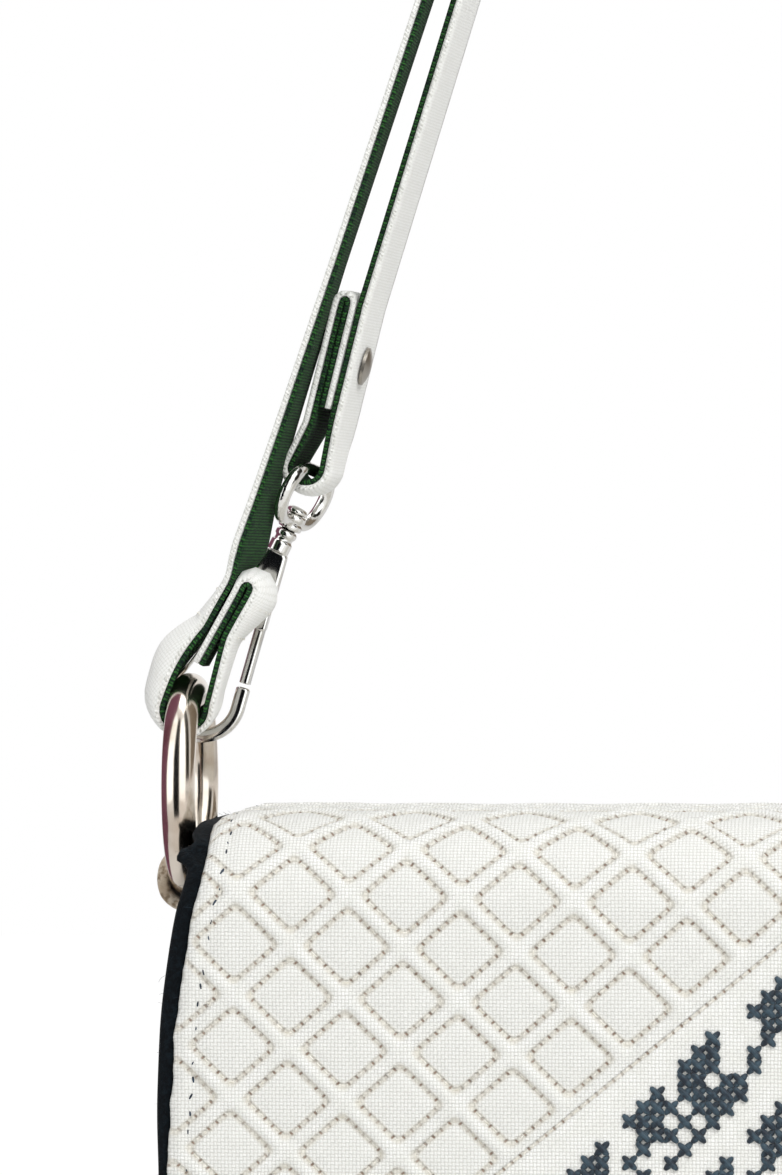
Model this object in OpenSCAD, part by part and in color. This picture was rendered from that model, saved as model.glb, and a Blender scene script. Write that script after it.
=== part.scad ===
// A flap shoulder bag of quilted linen over dark felt, hanging from its strap.
// The origin is where the strap bears on a shoulder or a peg: the underside of its crown.
// X runs across the bag, -Y is the front with the flap, +Z is up. Lengths are in millimetres.

/* [Bag] */
// Greatest width, at the belly
bag_w = 256; // [230:1:300]
// Width across the top fold
top_w = 241; // [225:1:242]
// Height from the top fold to the base
bag_h = 184; // [165:1:220]
// Depth between the outer faces of the front and back panels
bag_d = 56; // [50:1:75]
// Drop from the top fold to the widest place
belly_drop = 50; // [40:1:60]
// How far each side draws in again between the belly and the base corners
lower_draw = 4; // [2:0.5:6]
// Radius of the two base corners
corner_r = 42; // [30:1:50]
// Thickness of the felt panels and gussets
felt_t = 2.2; // [1.5:0.1:2.8]
// How far each gusset folds in at the top
side_pinch = 9; // [6:0.5:10]
// Drop from the top fold to the top edge of the gussets
mouth_drop = 12; // [11:1:16]
// Drop from the top fold to the top edge of the front panel, which leaves the mouth open behind the flap
front_drop = 34; // [30:1:50]
// How far the bag hangs behind the rings, so that its weight is level
hang_y = 6.2; // [0:0.1:9]

/* [Inside] */
// Thickness of the lining and of the slip pocket
lining_t = 0.8; // [0.5:0.1:1.2]
// Space between the panels and the lining, for the snap's washer
lining_gap = 1; // [0.9:0.1:1.6]
// Thickness of the stiff base board
board_t = 1.6; // [1:0.1:3]
// Width of the slip pocket
pocket_w = 130; // [90:1:160]
// Height of the slip pocket
pocket_h = 95; // [70:1:110]
// Space inside the slip pocket, front to back
pocket_gap = 5; // [4.5:0.1:8]

/* [Flap] */
// Drop from the top fold to the flap's lower edge
flap_h = 170; // [150:1:178]
// Radius of the flap's lower corners
flap_corner_r = 52; // [35:1:60]
// Thickness of the quilted linen
linen_t = 1.8; // [1.2:0.1:2.4]
// Thickness of the felt behind the linen
backing_t = 1.6; // [1.4:0.1:2]
// How far the felt shows past the linen's edge
linen_inset = 3.2; // [1:0.1:6]
// Outer radius of the folds at the top, front and back
fold_r = 17; // [12:1:22]
// Where the flap bends when it is lifted, down from the top round the front fold
bend_angle = 45; // [30:1:60]
// How far the flap's back edge runs down the back panel
back_drop = 46; // [30:1:80]

/* [Snap] */
// Diameter of the magnetic snap's two discs
snap_d = 18; // [14:0.5:19]
// Thickness of each disc
snap_t = 1.6; // [1.4:0.1:2]
// Diameter of the rivet that holds each disc
snap_post_d = 3; // [2.5:0.1:4]
// Drop from the top fold to the snap
snap_drop = 146; // [120:1:152]

/* [Rings] */
// Inside diameter of each round ring
ring_bore = 26.4; // [20:0.1:27]
// Diameter of the ring's wire
ring_wire = 5.6; // [4:0.1:6]
// How far the top fold lies below the ring's centre
top_fall = 2.9; // [0:0.1:5]
// Width of each side tab
tab_w = 10; // [8:0.5:12]
// Thickness of the side tab's linen
tab_t = 2.1; // [1.5:0.1:2.5]
// Length of the side tab below its loop
tab_leg = 28; // [20:1:40]

/* [Strap] */
// Height of the strap's crown above the ring centres
strap_drop = 318.6; // [260:0.1:420]
// Radius that the crown bends over
crown_r = 30; // [25:1:50]
// Width of the webbing
web_w = 14; // [12:0.5:14.5]
// Thickness of the webbing's white face
white_t = 1.1; // [0.8:0.1:1.2]
// Thickness of the webbing's green face
green_t = 0.9; // [0.6:0.1:1]
// Width that the webbing gathers to inside a ring
gather_w = 10; // [9:0.5:11]
// Length of the fold sewn round the left ring
lower_fold = 20; // [18:1:34]
// Length of the fold riveted round the hook's eye
upper_fold = 29; // [22:1:36]
// Head diameter of the rivet
rivet_d = 6.4; // [5:0.1:8]

/* [Hook] */
// Inside width of the hook's eye
eye_w = 15; // [14.8:0.1:18]
// Inside height of the hook's eye
eye_h = 7.2; // [6:0.1:9]
// Diameter of the eye's wire
eye_wire = 2.2; // [1.8:0.1:2.4]
// Height of the eye's wire above the ring's centre
eye_rise = 52.6; // [50:0.1:64]
// How far the eye lies inside the ring, towards the middle of the bag
eye_in = 21; // [19:0.5:24]
// Thickness of the hook's bar
hook_bar = 2.4; // [2:0.1:2.6]
// Inner radius of the hook's bend
bend_r = 5; // [4.4:0.1:5.2]
// How far the hook's two sides spread from its axis
pear_angle = 10; // [8:0.5:12]
// How far the hook lies behind the ring's centre
hook_y = 4.6; // [4.2:0.1:5]

/* [Hidden] */
$fn = 48;

// Clearances: running fit, soft pieces that pass each other, and the overrun of every cut
run_gap = 0.05;
soft_gap = 0.3;
ply_gap = 0.1;
cut = 1;

// Places that several pieces share
ring_r = (ring_bore + ring_wire) / 2;
ring_z = -strap_drop;
bag_z = ring_z - top_fall;
panel_y = bag_d / 2;
gusset_y = panel_y - felt_t;
snap_gap = 2 * snap_t + soft_gap;
flap_t = linen_t + backing_t;
front_y = -(panel_y + snap_gap + flap_t);
back_y = panel_y + flap_t;
lining_y = gusset_y - lining_gap;
floor_z = -bag_h + felt_t;

// Radius of the eye's round ends, to the wire's middle, and half the length of its straight wires
eye_r = (eye_h + eye_wire) / 2;
eye_half = (eye_w - eye_h) / 2;

// Half the gate's thickness over its two cheeks, and the room between it and the sewn fold
cheek_t = 0.6;
gate_half = hook_bar / 2 + run_gap + cheek_t;
swivel_room = 1.4;

// Steps of the drawn curves
side_steps = 10;
corner_steps = 10;
fold_steps = 8;
gusset_cols = 8;

// Half the outline's width at a drop d below the top fold, for a piece h tall with corners of radius r
function side_x(d, h, r) =
    let (rise = max(0, belly_drop - d) / belly_drop, fall = max(0, d - belly_drop) / (h - r - belly_drop))
    bag_w / 2 - (bag_w - top_w) / 2 * rise * rise - lower_draw * fall * fall;

// Right half of an outline from the drop d0 to the base, drawn in by inset
function half_outline(d0, h, r, inset = 0) = concat(
    [for (k = [0 : side_steps])
        let (d = d0 + (h - r - d0) * k / side_steps)
        [side_x(d, h, r) - inset, -d]],
    [for (k = [1 : corner_steps])
        let (a = 90 * k / corner_steps, w = side_x(h - r, h, r) - r)
        [w + (r - inset) * cos(a), -(h - r) - (r - inset) * sin(a)]]
);

function mirrored(points) = [for (k = [len(points) - 1 : -1 : 0]) [-points[k].x, points[k].y]];

function full_outline(d0, h, r, inset = 0) =
    let (half = half_outline(d0, h, r, inset))
    concat(half, mirrored(half));

// How far a gusset is folded in at a drop d, on the bag's middle plane
function pinch_at(d) =
    side_pinch * pow(cos(90 * max(0, d - mouth_drop) / (bag_h - mouth_drop)), 2);

// The outer face of the right gusset on its middle line, at a drop d
function gusset_face(d) = side_x(d, bag_h, corner_r) - pinch_at(d);

// The tab lies against the gusset, or stands out past the top fold where that is wider, and the ring
// hangs in the tab's loop
tab_hole = ring_wire / 2 + soft_gap;
tab_top = ring_r + tab_hole;
tab_low = tab_top + tab_leg;
tab_drop = tab_low - top_fall;
tab_reach = tab_w / 2 + hang_y;
tab_seat = max(gusset_face(tab_drop) + side_pinch * pow(tab_reach / gusset_y, 2), top_w / 2) + soft_gap;
ring_x = tab_seat + tab_hole + tab_t;

// A flat piece of an outline, its outer face at y0 and its thickness t towards +Y
module slice(y0, t, points) {
    translate([0, y0 + t, 0])
        rotate([90, 0, 0])
            linear_extrude(t)
                polygon(points);
}

module on_bag() {
    translate([0, hang_y, bag_z])
        children();
}

// A closed solid between two grids of points, a on its outer side and b on its inner side
module between(a, b) {
    rows = len(a);
    cols = len(a[0]);
    far = rows * cols;
    ring = concat(
        [for (j = [0 : cols - 1]) j],
        [for (i = [1 : rows - 1]) i * cols + cols - 1],
        [for (j = [cols - 2 : -1 : 0]) (rows - 1) * cols + j],
        [for (i = [rows - 2 : -1 : 1]) i * cols]
    );
    polyhedron(
        points = concat([for (row = a) each row], [for (row = b) each row]),
        faces = concat(
            [for (i = [0 : rows - 2], j = [0 : cols - 2])
                let (p = i * cols + j)
                each [[p, p + 1, p + cols + 1], [p, p + cols + 1, p + cols]]],
            [for (i = [0 : rows - 2], j = [0 : cols - 2])
                let (p = far + i * cols + j)
                each [[p, p + cols + 1, p + 1], [p, p + cols, p + cols + 1]]],
            [for (k = [0 : len(ring) - 1])
                let (p = ring[k], q = ring[(k + 1) % len(ring)])
                each [[p, far + p, far + q], [p, far + q, q]]]
        )
    );
}

// Felt body

module front_panel() {
    color("#10181c") on_bag() difference() {
        slice(-panel_y, felt_t, full_outline(front_drop, bag_h, corner_r));
        snap_axis(-panel_y - cut) cylinder(d = snap_post_d + 2 * run_gap, h = felt_t + 2 * cut);
    }
}

module back_panel() {
    color("#10181c") on_bag()
        slice(gusset_y, felt_t, full_outline(fold_r, bag_h, corner_r));
}

// One gusset, folded in between the panels and running round the base corner
module gusset(side) {
    path = half_outline(mouth_drop, bag_h, corner_r);
    function lean(k) = k <= side_steps ? 0 : 90 * (k - side_steps) / corner_steps;
    function spot(k, j, depth) =
        let (
            y = gusset_y * (2 * j / gusset_cols - 1),
            in = depth + pinch_at(-path[k].y) * (1 - pow(y / gusset_y, 2)),
            x = path[k].x - in * cos(lean(k))
        )
        [side * x, y, path[k].y + in * sin(lean(k))];
    function grid(depth) = [for (k = [0 : len(path) - 1])
        [for (j = [0 : gusset_cols]) spot(k, side > 0 ? j : gusset_cols - j, depth)]];
    on_bag() between(grid(0), grid(felt_t));
}

module gusset_left() {
    color("#131d22") gusset(-1);
}

module gusset_right() {
    color("#131d22") gusset(1);
}

base_half = side_x(bag_h - corner_r, bag_h, corner_r) - corner_r;

module bottom_panel() {
    color("#131d22") on_bag()
        translate([-base_half, -gusset_y, -bag_h])
            cube([2 * base_half, 2 * gusset_y, felt_t]);
}

module base_board() {
    color("#8d8473") on_bag()
        translate([-base_half, -gusset_y + soft_gap, floor_z])
            cube([2 * base_half, 2 * (gusset_y - soft_gap), board_t]);
}

// Lining: one piece of cloth down the front, over the base board and up the back
lining_inset = felt_t + side_pinch + soft_gap;
lining_corner = corner_r + side_pinch;

module lining() {
    low = floor_z + board_t;
    color("#c9bfa6") on_bag() intersection() {
        rotate([90, 0, 90])
            linear_extrude(bag_w, center = true)
                difference() {
                    translate([-lining_y, low])
                        square([2 * lining_y, -mouth_drop - felt_t - low]);
                    translate([-lining_y - cut, -front_drop])
                        square([lining_t + 2 * cut, front_drop]);
                    translate([lining_t - lining_y, low + lining_t])
                        square([2 * (lining_y - lining_t), bag_h]);
                }
        slice(-bag_d, 2 * bag_d, full_outline(mouth_drop, lining_inset - low, lining_corner, lining_inset));
    }
}

// Slip pocket: a shallow tray of lining cloth on the back lining, open at the top
module slip_pocket() {
    outer = pocket_gap + lining_t;
    back = lining_y - lining_t;
    low = floor_z + board_t + lining_t + corner_r - felt_t;
    color("#c2b79c") on_bag() difference() {
        translate([-pocket_w / 2, back - outer, low])
            cube([pocket_w, outer, pocket_h]);
        translate([lining_t - pocket_w / 2, back - pocket_gap, low + lining_t])
            cube([pocket_w - 2 * lining_t, pocket_gap + cut, pocket_h]);
    }
}

// Flap: the crown runs from the back seam over the top, the flap hangs from the front fold
front_c = [front_y + fold_r, -fold_r];
back_c = [back_y - fold_r, -fold_r];
bend_from = 90 + bend_angle;
bend_y = front_c.x + fold_r * cos(bend_from);
bend_z = front_c.y + fold_r * sin(bend_from);

function arc(c, r, a0, a1, steps) =
    [for (k = [0 : steps]) c + r * [cos(a0 + (a1 - a0) * k / steps), sin(a0 + (a1 - a0) * k / steps)]];

function crown_line(depth) = concat(
    [[back_y - depth, -back_drop]],
    arc(back_c, fold_r - depth, 0, 90, fold_steps),
    arc(front_c, fold_r - depth, 90, bend_from - asin(soft_gap / 2 / fold_r), fold_steps)
);

function flap_line(depth) = concat(
    arc(front_c, fold_r - depth, bend_from + asin(soft_gap / 2 / fold_r), 180, fold_steps),
    [[front_y + depth, -flap_h - cut]]
);

function layer(outer, inner) = concat(outer, [for (k = [len(inner) - 1 : -1 : 0]) inner[k]]);

// A layer of the flap: its side profile run across the bag and cut to the front outline
module flap_layer(profile, inset) {
    on_bag() intersection() {
        rotate([90, 0, 90])
            linear_extrude(bag_w + cut, center = true)
                polygon(profile);
        slice(front_y - cut, back_y - front_y + 2 * cut, flap_outline(inset));
    }
}

function flap_outline(inset) =
    let (half = concat([[top_w / 2 - inset, cut]], half_outline(0, flap_h, flap_corner_r, inset)))
    concat(half, mirrored(half));

module crown_linen() {
    color("#e9e8e2") flap_layer(layer(crown_line(0), crown_line(linen_t)), linen_inset);
}

module crown_backing() {
    color("#121b20") flap_layer(layer(crown_line(linen_t), crown_line(flap_t)), 0);
}

module flap_linen() {
    color("#e9e8e2") flap_layer(layer(flap_line(0), flap_line(linen_t)), linen_inset);
}

// The felt behind the flap has a pocket for the stud's washer
module flap_backing() {
    color("#121b20") difference() {
        flap_layer(layer(flap_line(linen_t), flap_line(flap_t)), 0);
        on_bag() snap_axis(front_y + linen_t - cut)
            cylinder(d = snap_post_d + 2 * run_gap, h = backing_t + 2 * cut);
        on_bag() snap_axis(front_y + linen_t - cut)
            cylinder(d = washer_d + 2 * run_gap, h = washer_t + cut);
    }
}

// Magnetic snap
washer_d = snap_d * 3 / 4;
washer_t = lining_gap * 3 / 5;
nub_d = snap_d / 3;
nub_h = snap_t * 3 / 4;

// Stands a cylinder on the snap's axis, from y0 towards +Y
module snap_axis(y0) {
    translate([0, y0, -snap_drop])
        rotate([-90, 0, 0])
            children();
}

module snap_socket() {
    color("#b9b6ad") on_bag() difference() {
        union() {
            snap_axis(-panel_y - snap_t) cylinder(d = snap_d, h = snap_t);
            snap_axis(-panel_y - snap_t / 2) cylinder(d = snap_post_d, h = snap_t / 2 + felt_t + washer_t);
        }
        snap_axis(-panel_y - snap_t - cut)
            cylinder(d = nub_d + 2 * soft_gap, h = cut + nub_h - soft_gap + 2 * run_gap);
    }
}

module socket_washer() {
    color("#a9a69d") on_bag() difference() {
        snap_axis(-gusset_y) cylinder(d = washer_d, h = washer_t);
        snap_axis(-gusset_y - cut) cylinder(d = snap_post_d + 2 * run_gap, h = washer_t + 2 * cut);
    }
}

module snap_stud() {
    inner_y = front_y + flap_t;
    color("#b9b6ad") on_bag() {
        snap_axis(inner_y) cylinder(d = snap_d, h = snap_t);
        snap_axis(front_y + linen_t) cylinder(d = snap_post_d, h = backing_t + snap_t / 2);
        snap_axis(inner_y + snap_t / 2) cylinder(d = nub_d, h = snap_t / 2 + nub_h);
    }
}

module stud_washer() {
    color("#a9a69d") on_bag() difference() {
        snap_axis(front_y + linen_t) cylinder(d = washer_d, h = washer_t);
        snap_axis(front_y + linen_t - cut) cylinder(d = snap_post_d + 2 * run_gap, h = washer_t + 2 * cut);
    }
}

// Rings and side tabs

module ring(side) {
    translate([side * ring_x, 0, ring_z])
        rotate([0, 90, 0])
            rotate_extrude($fn = 96)
                translate([ring_r, 0])
                    circle(d = ring_wire);
}

module ring_left() {
    color("#cfc6bd") ring(-1);
}

module ring_right() {
    color("#cfc6bd") ring(1);
}

// A strip of linen looped round the ring's lower wire, its two ends lying on the gusset
module tab(side) {
    loop_r = tab_hole + tab_t;
    // The tunnel is taller than the wire, because the ring's wire climbs across the tab's width
    climb = ring_bore / 2 - sqrt(pow(ring_bore / 2, 2) - pow(tab_w / 2, 2));
    translate([side * ring_x, tab_w / 2, ring_z])
        rotate([90, 0, 0])
            linear_extrude(tab_w)
                difference() {
                    union() {
                        translate([0, -ring_r]) circle(r = loop_r);
                        translate([0, climb - ring_r]) circle(r = loop_r);
                        translate([-loop_r, -ring_r]) square([2 * loop_r, climb]);
                        translate([side > 0 ? -loop_r : loop_r - 2 * tab_t, -tab_low])
                            square([2 * tab_t, tab_low - ring_r]);
                    }
                    translate([0, -ring_r]) circle(r = tab_hole);
                    translate([0, climb - ring_r]) circle(r = tab_hole);
                    translate([-tab_hole, -ring_r]) square([2 * tab_hole, climb]);
                }
}

module tab_left() {
    color("#b9a68f") tab(-1);
}

module tab_right() {
    color("#b9a68f") tab(1);
}

// Webbing: its line is the seam between the white face and the green face, seen from the front.
// It starts at the tucked end by the left ring, runs up and over the crown, through the right
// ring, back over the crown inside itself, and ends folded round the hook's eye.
web_t = white_t + green_t;
turn_r = ring_wire / 2 + soft_gap + green_t;
hairpin_r = green_t + ply_gap / 2;
wire_top = ring_z + ring_r;
gather_y = hook_y - gate_half - swivel_room - gather_w / 2;
crown_c = [0, -crown_r];
inner_crown = crown_r + white_t;
outer_crown = crown_r + web_t + ply_gap + green_t;
lower_lean = 29;
upper_lean = 14;
right_lean = 20;
right_join = 26;
low_tip_share = 0.25;
tuck_share = 0.5;
sewn_share = 0.55;
bulge = 1.4;
turn_steps = 8;
run_steps = 8;
crown_steps = 14;

// A point n across and u along an axis that starts at c and leans from upright by the angle lean
function leaning(c, lean, n, u) = c + n * [cos(lean), -sin(lean)] + u * [sin(lean), cos(lean)];

// Adds to each point its place across the bag, its width, and how far it cups under the ring
function carry(points, from, to) = [for (k = [0 : len(points) - 1])
    let (s = k / (len(points) - 1))
    concat(points[k], from + (to - from) * s)];

function line(p, q, steps) = [for (k = [0 : steps]) p + (q - p) * k / steps];

// Points from p to q with one smooth bow to the left of the way
function bowed(p, q, bow, steps) =
    let (d = q - p, left = [-d.y, d.x] / norm(d))
    [for (k = [0 : steps]) p + d * k / steps + left * bow * sin(180 * k / steps)];

function rest(points) = [for (k = [1 : len(points) - 1]) points[k]];

// The angle on a circle where a line from p touches it, clockwise (-1) or anticlockwise (1) of p
function touch(p, c, r, side) =
    let (d = p - c)
    (atan2(d.y, d.x) + 360) % 360 + side * acos(r / norm(d));

gathered = [gather_y, gather_w, 1];
sewn = [gather_y, gather_w, 0];
outer_wide = [gather_y / 2, web_w, 0];
middle = [0, web_w, 0];
middle_gathered = [0, gather_w, 1];
middle_sewn = [0, gather_w, 0];
inner_wide = [hook_y, web_w, 0];
inner_gathered = [hook_y, 2 * eye_half + eye_r / 2, 0];

// Layers of the lower fold, from the strand on the left to the turned-back layer on the right
low_c = [-ring_x, wire_top];
low_tuck = 0;
low_right = low_tuck + 2 * hairpin_r;
low_left = low_tuck - web_t - ply_gap;
low_sewn = lower_fold * sewn_share;
low_tip = lower_fold * low_tip_share;
function low(n, u) = leaning(low_c, lower_lean, n, u);
low_start = low(low_left, lower_fold);

// Layers of the upper fold, from the turned-back layer on the left to the strand on the right
eye_turn = eye_wire / 2 + soft_gap + green_t;
eye_c = [eye_in - ring_x, ring_z + eye_rise];
up_tuck = 0;
up_left = up_tuck - 2 * hairpin_r;
up_right = up_tuck + web_t + ply_gap;
up_sewn = upper_fold * sewn_share / 2;
up_tip = upper_fold * tuck_share * 3 / 4;
function up(n, u) = leaning(eye_c, upper_lean, n, u);
up_start = up(up_right, upper_fold);

// The right ring's turn, and where its two strands come together above
right_c = [ring_x, wire_top];
function right(n, u) = leaning(right_c, -right_lean, n, u);
right_outer = right(green_t + ply_gap, right_join);
right_inner = right(-green_t - ply_gap, right_join);
turn_from = touch(right_outer, right_c, turn_r, -1);
turn_to = touch(right_inner, right_c, turn_r, 1) - 360;
right_in = right_c + turn_r * [cos(turn_from), sin(turn_from)];
right_out = right_c + turn_r * [cos(turn_to), sin(turn_to)];

outer_left = touch(low_start, crown_c, outer_crown, -1);
outer_right = touch(right_outer, crown_c, outer_crown, 1) - 360;
inner_right = touch(right_inner, crown_c, inner_crown, 1) - 360;
inner_left = touch(up_start, crown_c, inner_crown, -1);

web_line = concat(
    carry(line(low(low_tuck, low_tip), low(low_tuck, lower_fold), 3), sewn, sewn),
    rest(carry([for (k = [0 : turn_steps]) low(low_tuck + hairpin_r * (1 - cos(180 * k / turn_steps)),
        lower_fold + hairpin_r * sin(180 * k / turn_steps))], sewn, sewn)),
    rest(carry(line(low(low_right, lower_fold), low(low_right, low_sewn), 3), sewn, sewn)),
    rest(carry(line(low(low_right, low_sewn), low_c + [turn_r, 0], 4), sewn, gathered)),
    rest(carry(arc(low_c, turn_r, 0, -180, turn_steps), gathered, gathered)),
    rest(carry(bowed(low_c - [turn_r, 0], low(low_left, low_sewn), bulge, run_steps), gathered, sewn)),
    rest(carry(line(low(low_left, low_sewn), low_start, 3), sewn, sewn)),
    rest(carry(line(low_start, crown_c + outer_crown * [cos(outer_left), sin(outer_left)], run_steps),
        sewn, outer_wide)),
    rest(carry(arc(crown_c, outer_crown, outer_left, outer_right, crown_steps), outer_wide, middle)),
    rest(carry(line(crown_c + outer_crown * [cos(outer_right), sin(outer_right)], right_outer, run_steps),
        middle, middle_sewn)),
    rest(carry(line(right_outer, right_in, 4), middle_sewn, middle_gathered)),
    rest(carry(arc(right_c, turn_r, turn_from, turn_to, turn_steps), middle_gathered, middle_gathered)),
    rest(carry(line(right_out, right_inner, 4), middle_gathered, middle_sewn)),
    rest(carry(line(right_inner, crown_c + inner_crown * [cos(inner_right), sin(inner_right)], run_steps),
        middle_sewn, middle)),
    rest(carry(arc(crown_c, inner_crown, inner_right, inner_left, crown_steps), middle, inner_wide)),
    rest(carry(line(crown_c + inner_crown * [cos(inner_left), sin(inner_left)], up_start, run_steps),
        inner_wide, inner_wide)),
    rest(carry(line(up_start, up(up_right, up_sewn), 4), inner_wide, inner_wide)),
    rest(carry(line(up(up_right, up_sewn), eye_c + [eye_turn, 0], 3), inner_wide, inner_gathered)),
    rest(carry(arc(eye_c, eye_turn, 0, -180, turn_steps), inner_gathered, inner_gathered)),
    rest(carry(line(eye_c - [eye_turn, 0], up(up_left, up_sewn), 3), inner_gathered, inner_wide)),
    rest(carry(line(up(up_left, up_sewn), up(up_left, upper_fold), 4), inner_wide, inner_wide)),
    rest(carry([for (k = [0 : turn_steps]) up(up_left + hairpin_r * (1 - cos(180 * k / turn_steps)),
        upper_fold + hairpin_r * sin(180 * k / turn_steps))], inner_wide, inner_wide)),
    rest(carry(line(up(up_tuck, upper_fold), up(up_tuck, up_tip), 3), inner_wide, inner_wide))
);

web_cols = 6;

// The grid of one face of the webbing, off from its line to the white side
function web_grid(off) = [for (k = [0 : len(web_line) - 1])
    let (
        s = web_line[k],
        before = web_line[max(0, k - 1)],
        after = web_line[min(len(web_line) - 1, k + 1)],
        way = [after.x - before.x, after.y - before.y],
        left = [-way.y, way.x] / norm(way)
    )
    [for (j = [0 : web_cols])
        let (
            y = s[2] + s[3] * (j / web_cols - 1 / 2),
            reach = min(abs(y), ring_bore / 2),
            cup = s[4] * (ring_bore / 2 - sqrt(pow(ring_bore / 2, 2) - reach * reach))
        )
        [s.x + left.x * off, y, s.y + left.y * off - cup]]];

module webbing_white() {
    color("#e4e6e2") between(web_grid(white_t), web_grid(0));
}

module webbing_green() {
    color("#2c4a2c") between(web_grid(0), web_grid(-green_t));
}

// Rivet through the three layers of the upper fold
rivet_share = 0.66;
rivet_post_d = rivet_d / 3;
rivet_head = 1.4;

module at_rivet() {
    spot = up(0, upper_fold * rivet_share);
    translate([spot.x, hook_y, spot.y])
        rotate([0, 90 + upper_lean, 0])
            children();
}

module rivet_cap() {
    face = up_right + white_t;
    color("#8f8a80") at_rivet() translate([0, 0, face]) intersection() {
        cylinder(d = rivet_d, h = rivet_head);
        translate([0, 0, rivet_head - rivet_d]) sphere(r = rivet_d);
    }
}

module rivet_post() {
    back = up_left - white_t;
    color("#a09b92") at_rivet() {
        translate([0, 0, back - rivet_head / 2]) cylinder(d = rivet_d, h = rivet_head / 2);
        translate([0, 0, back - rivet_head / 4])
            cylinder(d = rivet_post_d, h = up_right + white_t - back + rivet_head / 4);
    }
}

// Swivel snap hook: its own axis runs up from the bend to the eye's upper wire
wire_rise = sqrt(pow(ring_r, 2) - pow(hook_y + hook_bar / 2, 2));
bend_side = 110;
bend_in = bend_r - ring_wire / 2 - 2 * soft_gap;
bend_c = [bend_in * sin(bend_side), wire_rise + bend_in * cos(bend_side)];
hook_tilt = atan2(eye_in - bend_c.x, eye_rise - bend_c.y);
hook_len = norm([eye_in - bend_c.x, eye_rise - bend_c.y]);
post_d = 2.4;
post_head = 3.6;
head_h = 1.2;
boss_d = 4.2;
boss_h = 2.8;
collar_d = 3.8;
collar_h = 4;
collar_top = -(2 * eye_r + boss_h / 2 + run_gap * 4);
pear_top = collar_top - collar_h;
pear_len = hook_len + pear_top;

module in_hook() {
    translate([eye_in - ring_x, hook_y, ring_z + eye_rise])
        rotate([0, hook_tilt, 0])
            children();
}

module eye_half_turn(side) {
    translate([0, side * eye_half, -eye_r])
        rotate([90, 0, 90])
            rotate([0, 0, side > 0 ? -90 : 90])
                rotate_extrude(angle = 180)
                    translate([eye_r, 0]) circle(d = eye_wire);
}

module hook_eye() {
    color("#c8c9cb") in_hook() difference() {
        union() {
            eye_half_turn(1);
            eye_half_turn(-1);
            for (z = [0, -2 * eye_r])
                translate([0, eye_half, z])
                    rotate([90, 0, 0]) cylinder(d = eye_wire, h = 2 * eye_half);
            translate([0, 0, -2 * eye_r - boss_h / 2]) cylinder(d = boss_d, h = boss_h);
        }
        translate([0, 0, -2 * eye_r - boss_h / 2 - cut])
            cylinder(d = post_d + 2 * run_gap, h = boss_h + 2 * cut);
    }
}

module swivel_post() {
    head_z = boss_h / 2 - 2 * eye_r + 2 * run_gap;
    color("#b9babd") in_hook() {
        translate([0, 0, head_z]) cylinder(d = post_head, h = head_h);
        translate([0, 0, pear_top]) cylinder(d = post_d, h = head_z - pear_top + head_h / 2);
    }
}

// Half the width of the hook's outline at a depth z below its top, less off
bend_out = bend_r + hook_bar;
spread = (bend_out * cos(pear_angle) - collar_d / 2) / (pear_len - bend_out * sin(pear_angle));
bar_w = hook_bar / cos(pear_angle);
function half_x(z, off) = collar_d / 2 + spread * z - off;

function bend(r) = [for (k = [0 : 2 * turn_steps])
    let (a = pear_angle - (180 + 2 * pear_angle) * k / (2 * turn_steps))
    [r * cos(a), r * sin(a) - pear_len]];

function pear(top, off, r) = concat([[half_x(top, off), -top]], bend(r), [[-half_x(top, off), -top]]);

// The gate fills a gap in the hook's side, and turns on a pin through the hook's round end
neck = 5.4;
gate_from = 8.8;
gate_to = 22.8;
gate_w = 1.9;
pin_d = 1;
end_r = hook_bar / 2;
pin_at = [half_x(gate_from, bar_w / 2), -gate_from];
tip_gap = 0.45;

// A piece of the gate's side of the hook between two depths, w wide
module bar_piece(from, to, w) {
    in = (bar_w + w) / 2;
    out = (bar_w - w) / 2;
    polygon([
        [half_x(from, in), -from], [half_x(from, out), -from],
        [half_x(to, out), -to], [half_x(to, in), -to]
    ]);
}

// Stands a flat outline in the hook's plane, t thick and centred y0 off it
module in_plane(t, y0 = 0) {
    translate([0, y0 + t / 2, pear_top])
        rotate([90, 0, 0])
            linear_extrude(t)
                children();
}

module hook_body() {
    color("#c8c9cb") in_hook() {
        in_plane(hook_bar) difference() {
            union() {
                difference() {
                    polygon(pear(0, 0, bend_out));
                    polygon(pear(neck, bar_w, bend_r));
                    bar_piece(gate_from, gate_to, 2 * hook_bar);
                }
                translate(pin_at) circle(r = end_r);
            }
            translate(pin_at) circle(d = pin_d);
        }
        difference() {
            translate([0, 0, pear_top]) cylinder(d = collar_d, h = collar_h);
            translate([0, 0, pear_top]) cylinder(d = post_d, h = collar_h + cut);
        }
    }
}

module gate() {
    color("#d2d3d5") in_hook() {
        in_plane(2 * gate_half) difference() {
            bar_piece(gate_from + end_r, gate_to - tip_gap, gate_w);
            translate(pin_at) circle(r = end_r + 2 * run_gap);
        }
        for (side = [-1, 1])
            in_plane(cheek_t, side * (gate_half - cheek_t / 2)) difference() {
                union() {
                    bar_piece(gate_from, gate_to - 3 * gate_w, gate_w);
                    translate(pin_at) circle(d = gate_w);
                }
                translate(pin_at) circle(d = pin_d + 2 * run_gap);
            }
    }
}

module gate_pin() {
    color("#9fa0a3") in_hook()
        in_plane(2 * gate_half) translate(pin_at) circle(d = pin_d);
}

webbing_white();
webbing_green();
rivet_cap();
rivet_post();
hook_eye();
swivel_post();
hook_body();
gate();
gate_pin();
ring_left();
ring_right();
tab_left();
tab_right();
crown_linen();
crown_backing();
flap_linen();
flap_backing();
snap_stud();
stud_washer();
snap_socket();
socket_washer();
front_panel();
back_panel();
gusset_left();
gusset_right();
bottom_panel();
base_board();
lining();
slip_pocket();
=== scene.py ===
import math

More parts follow.
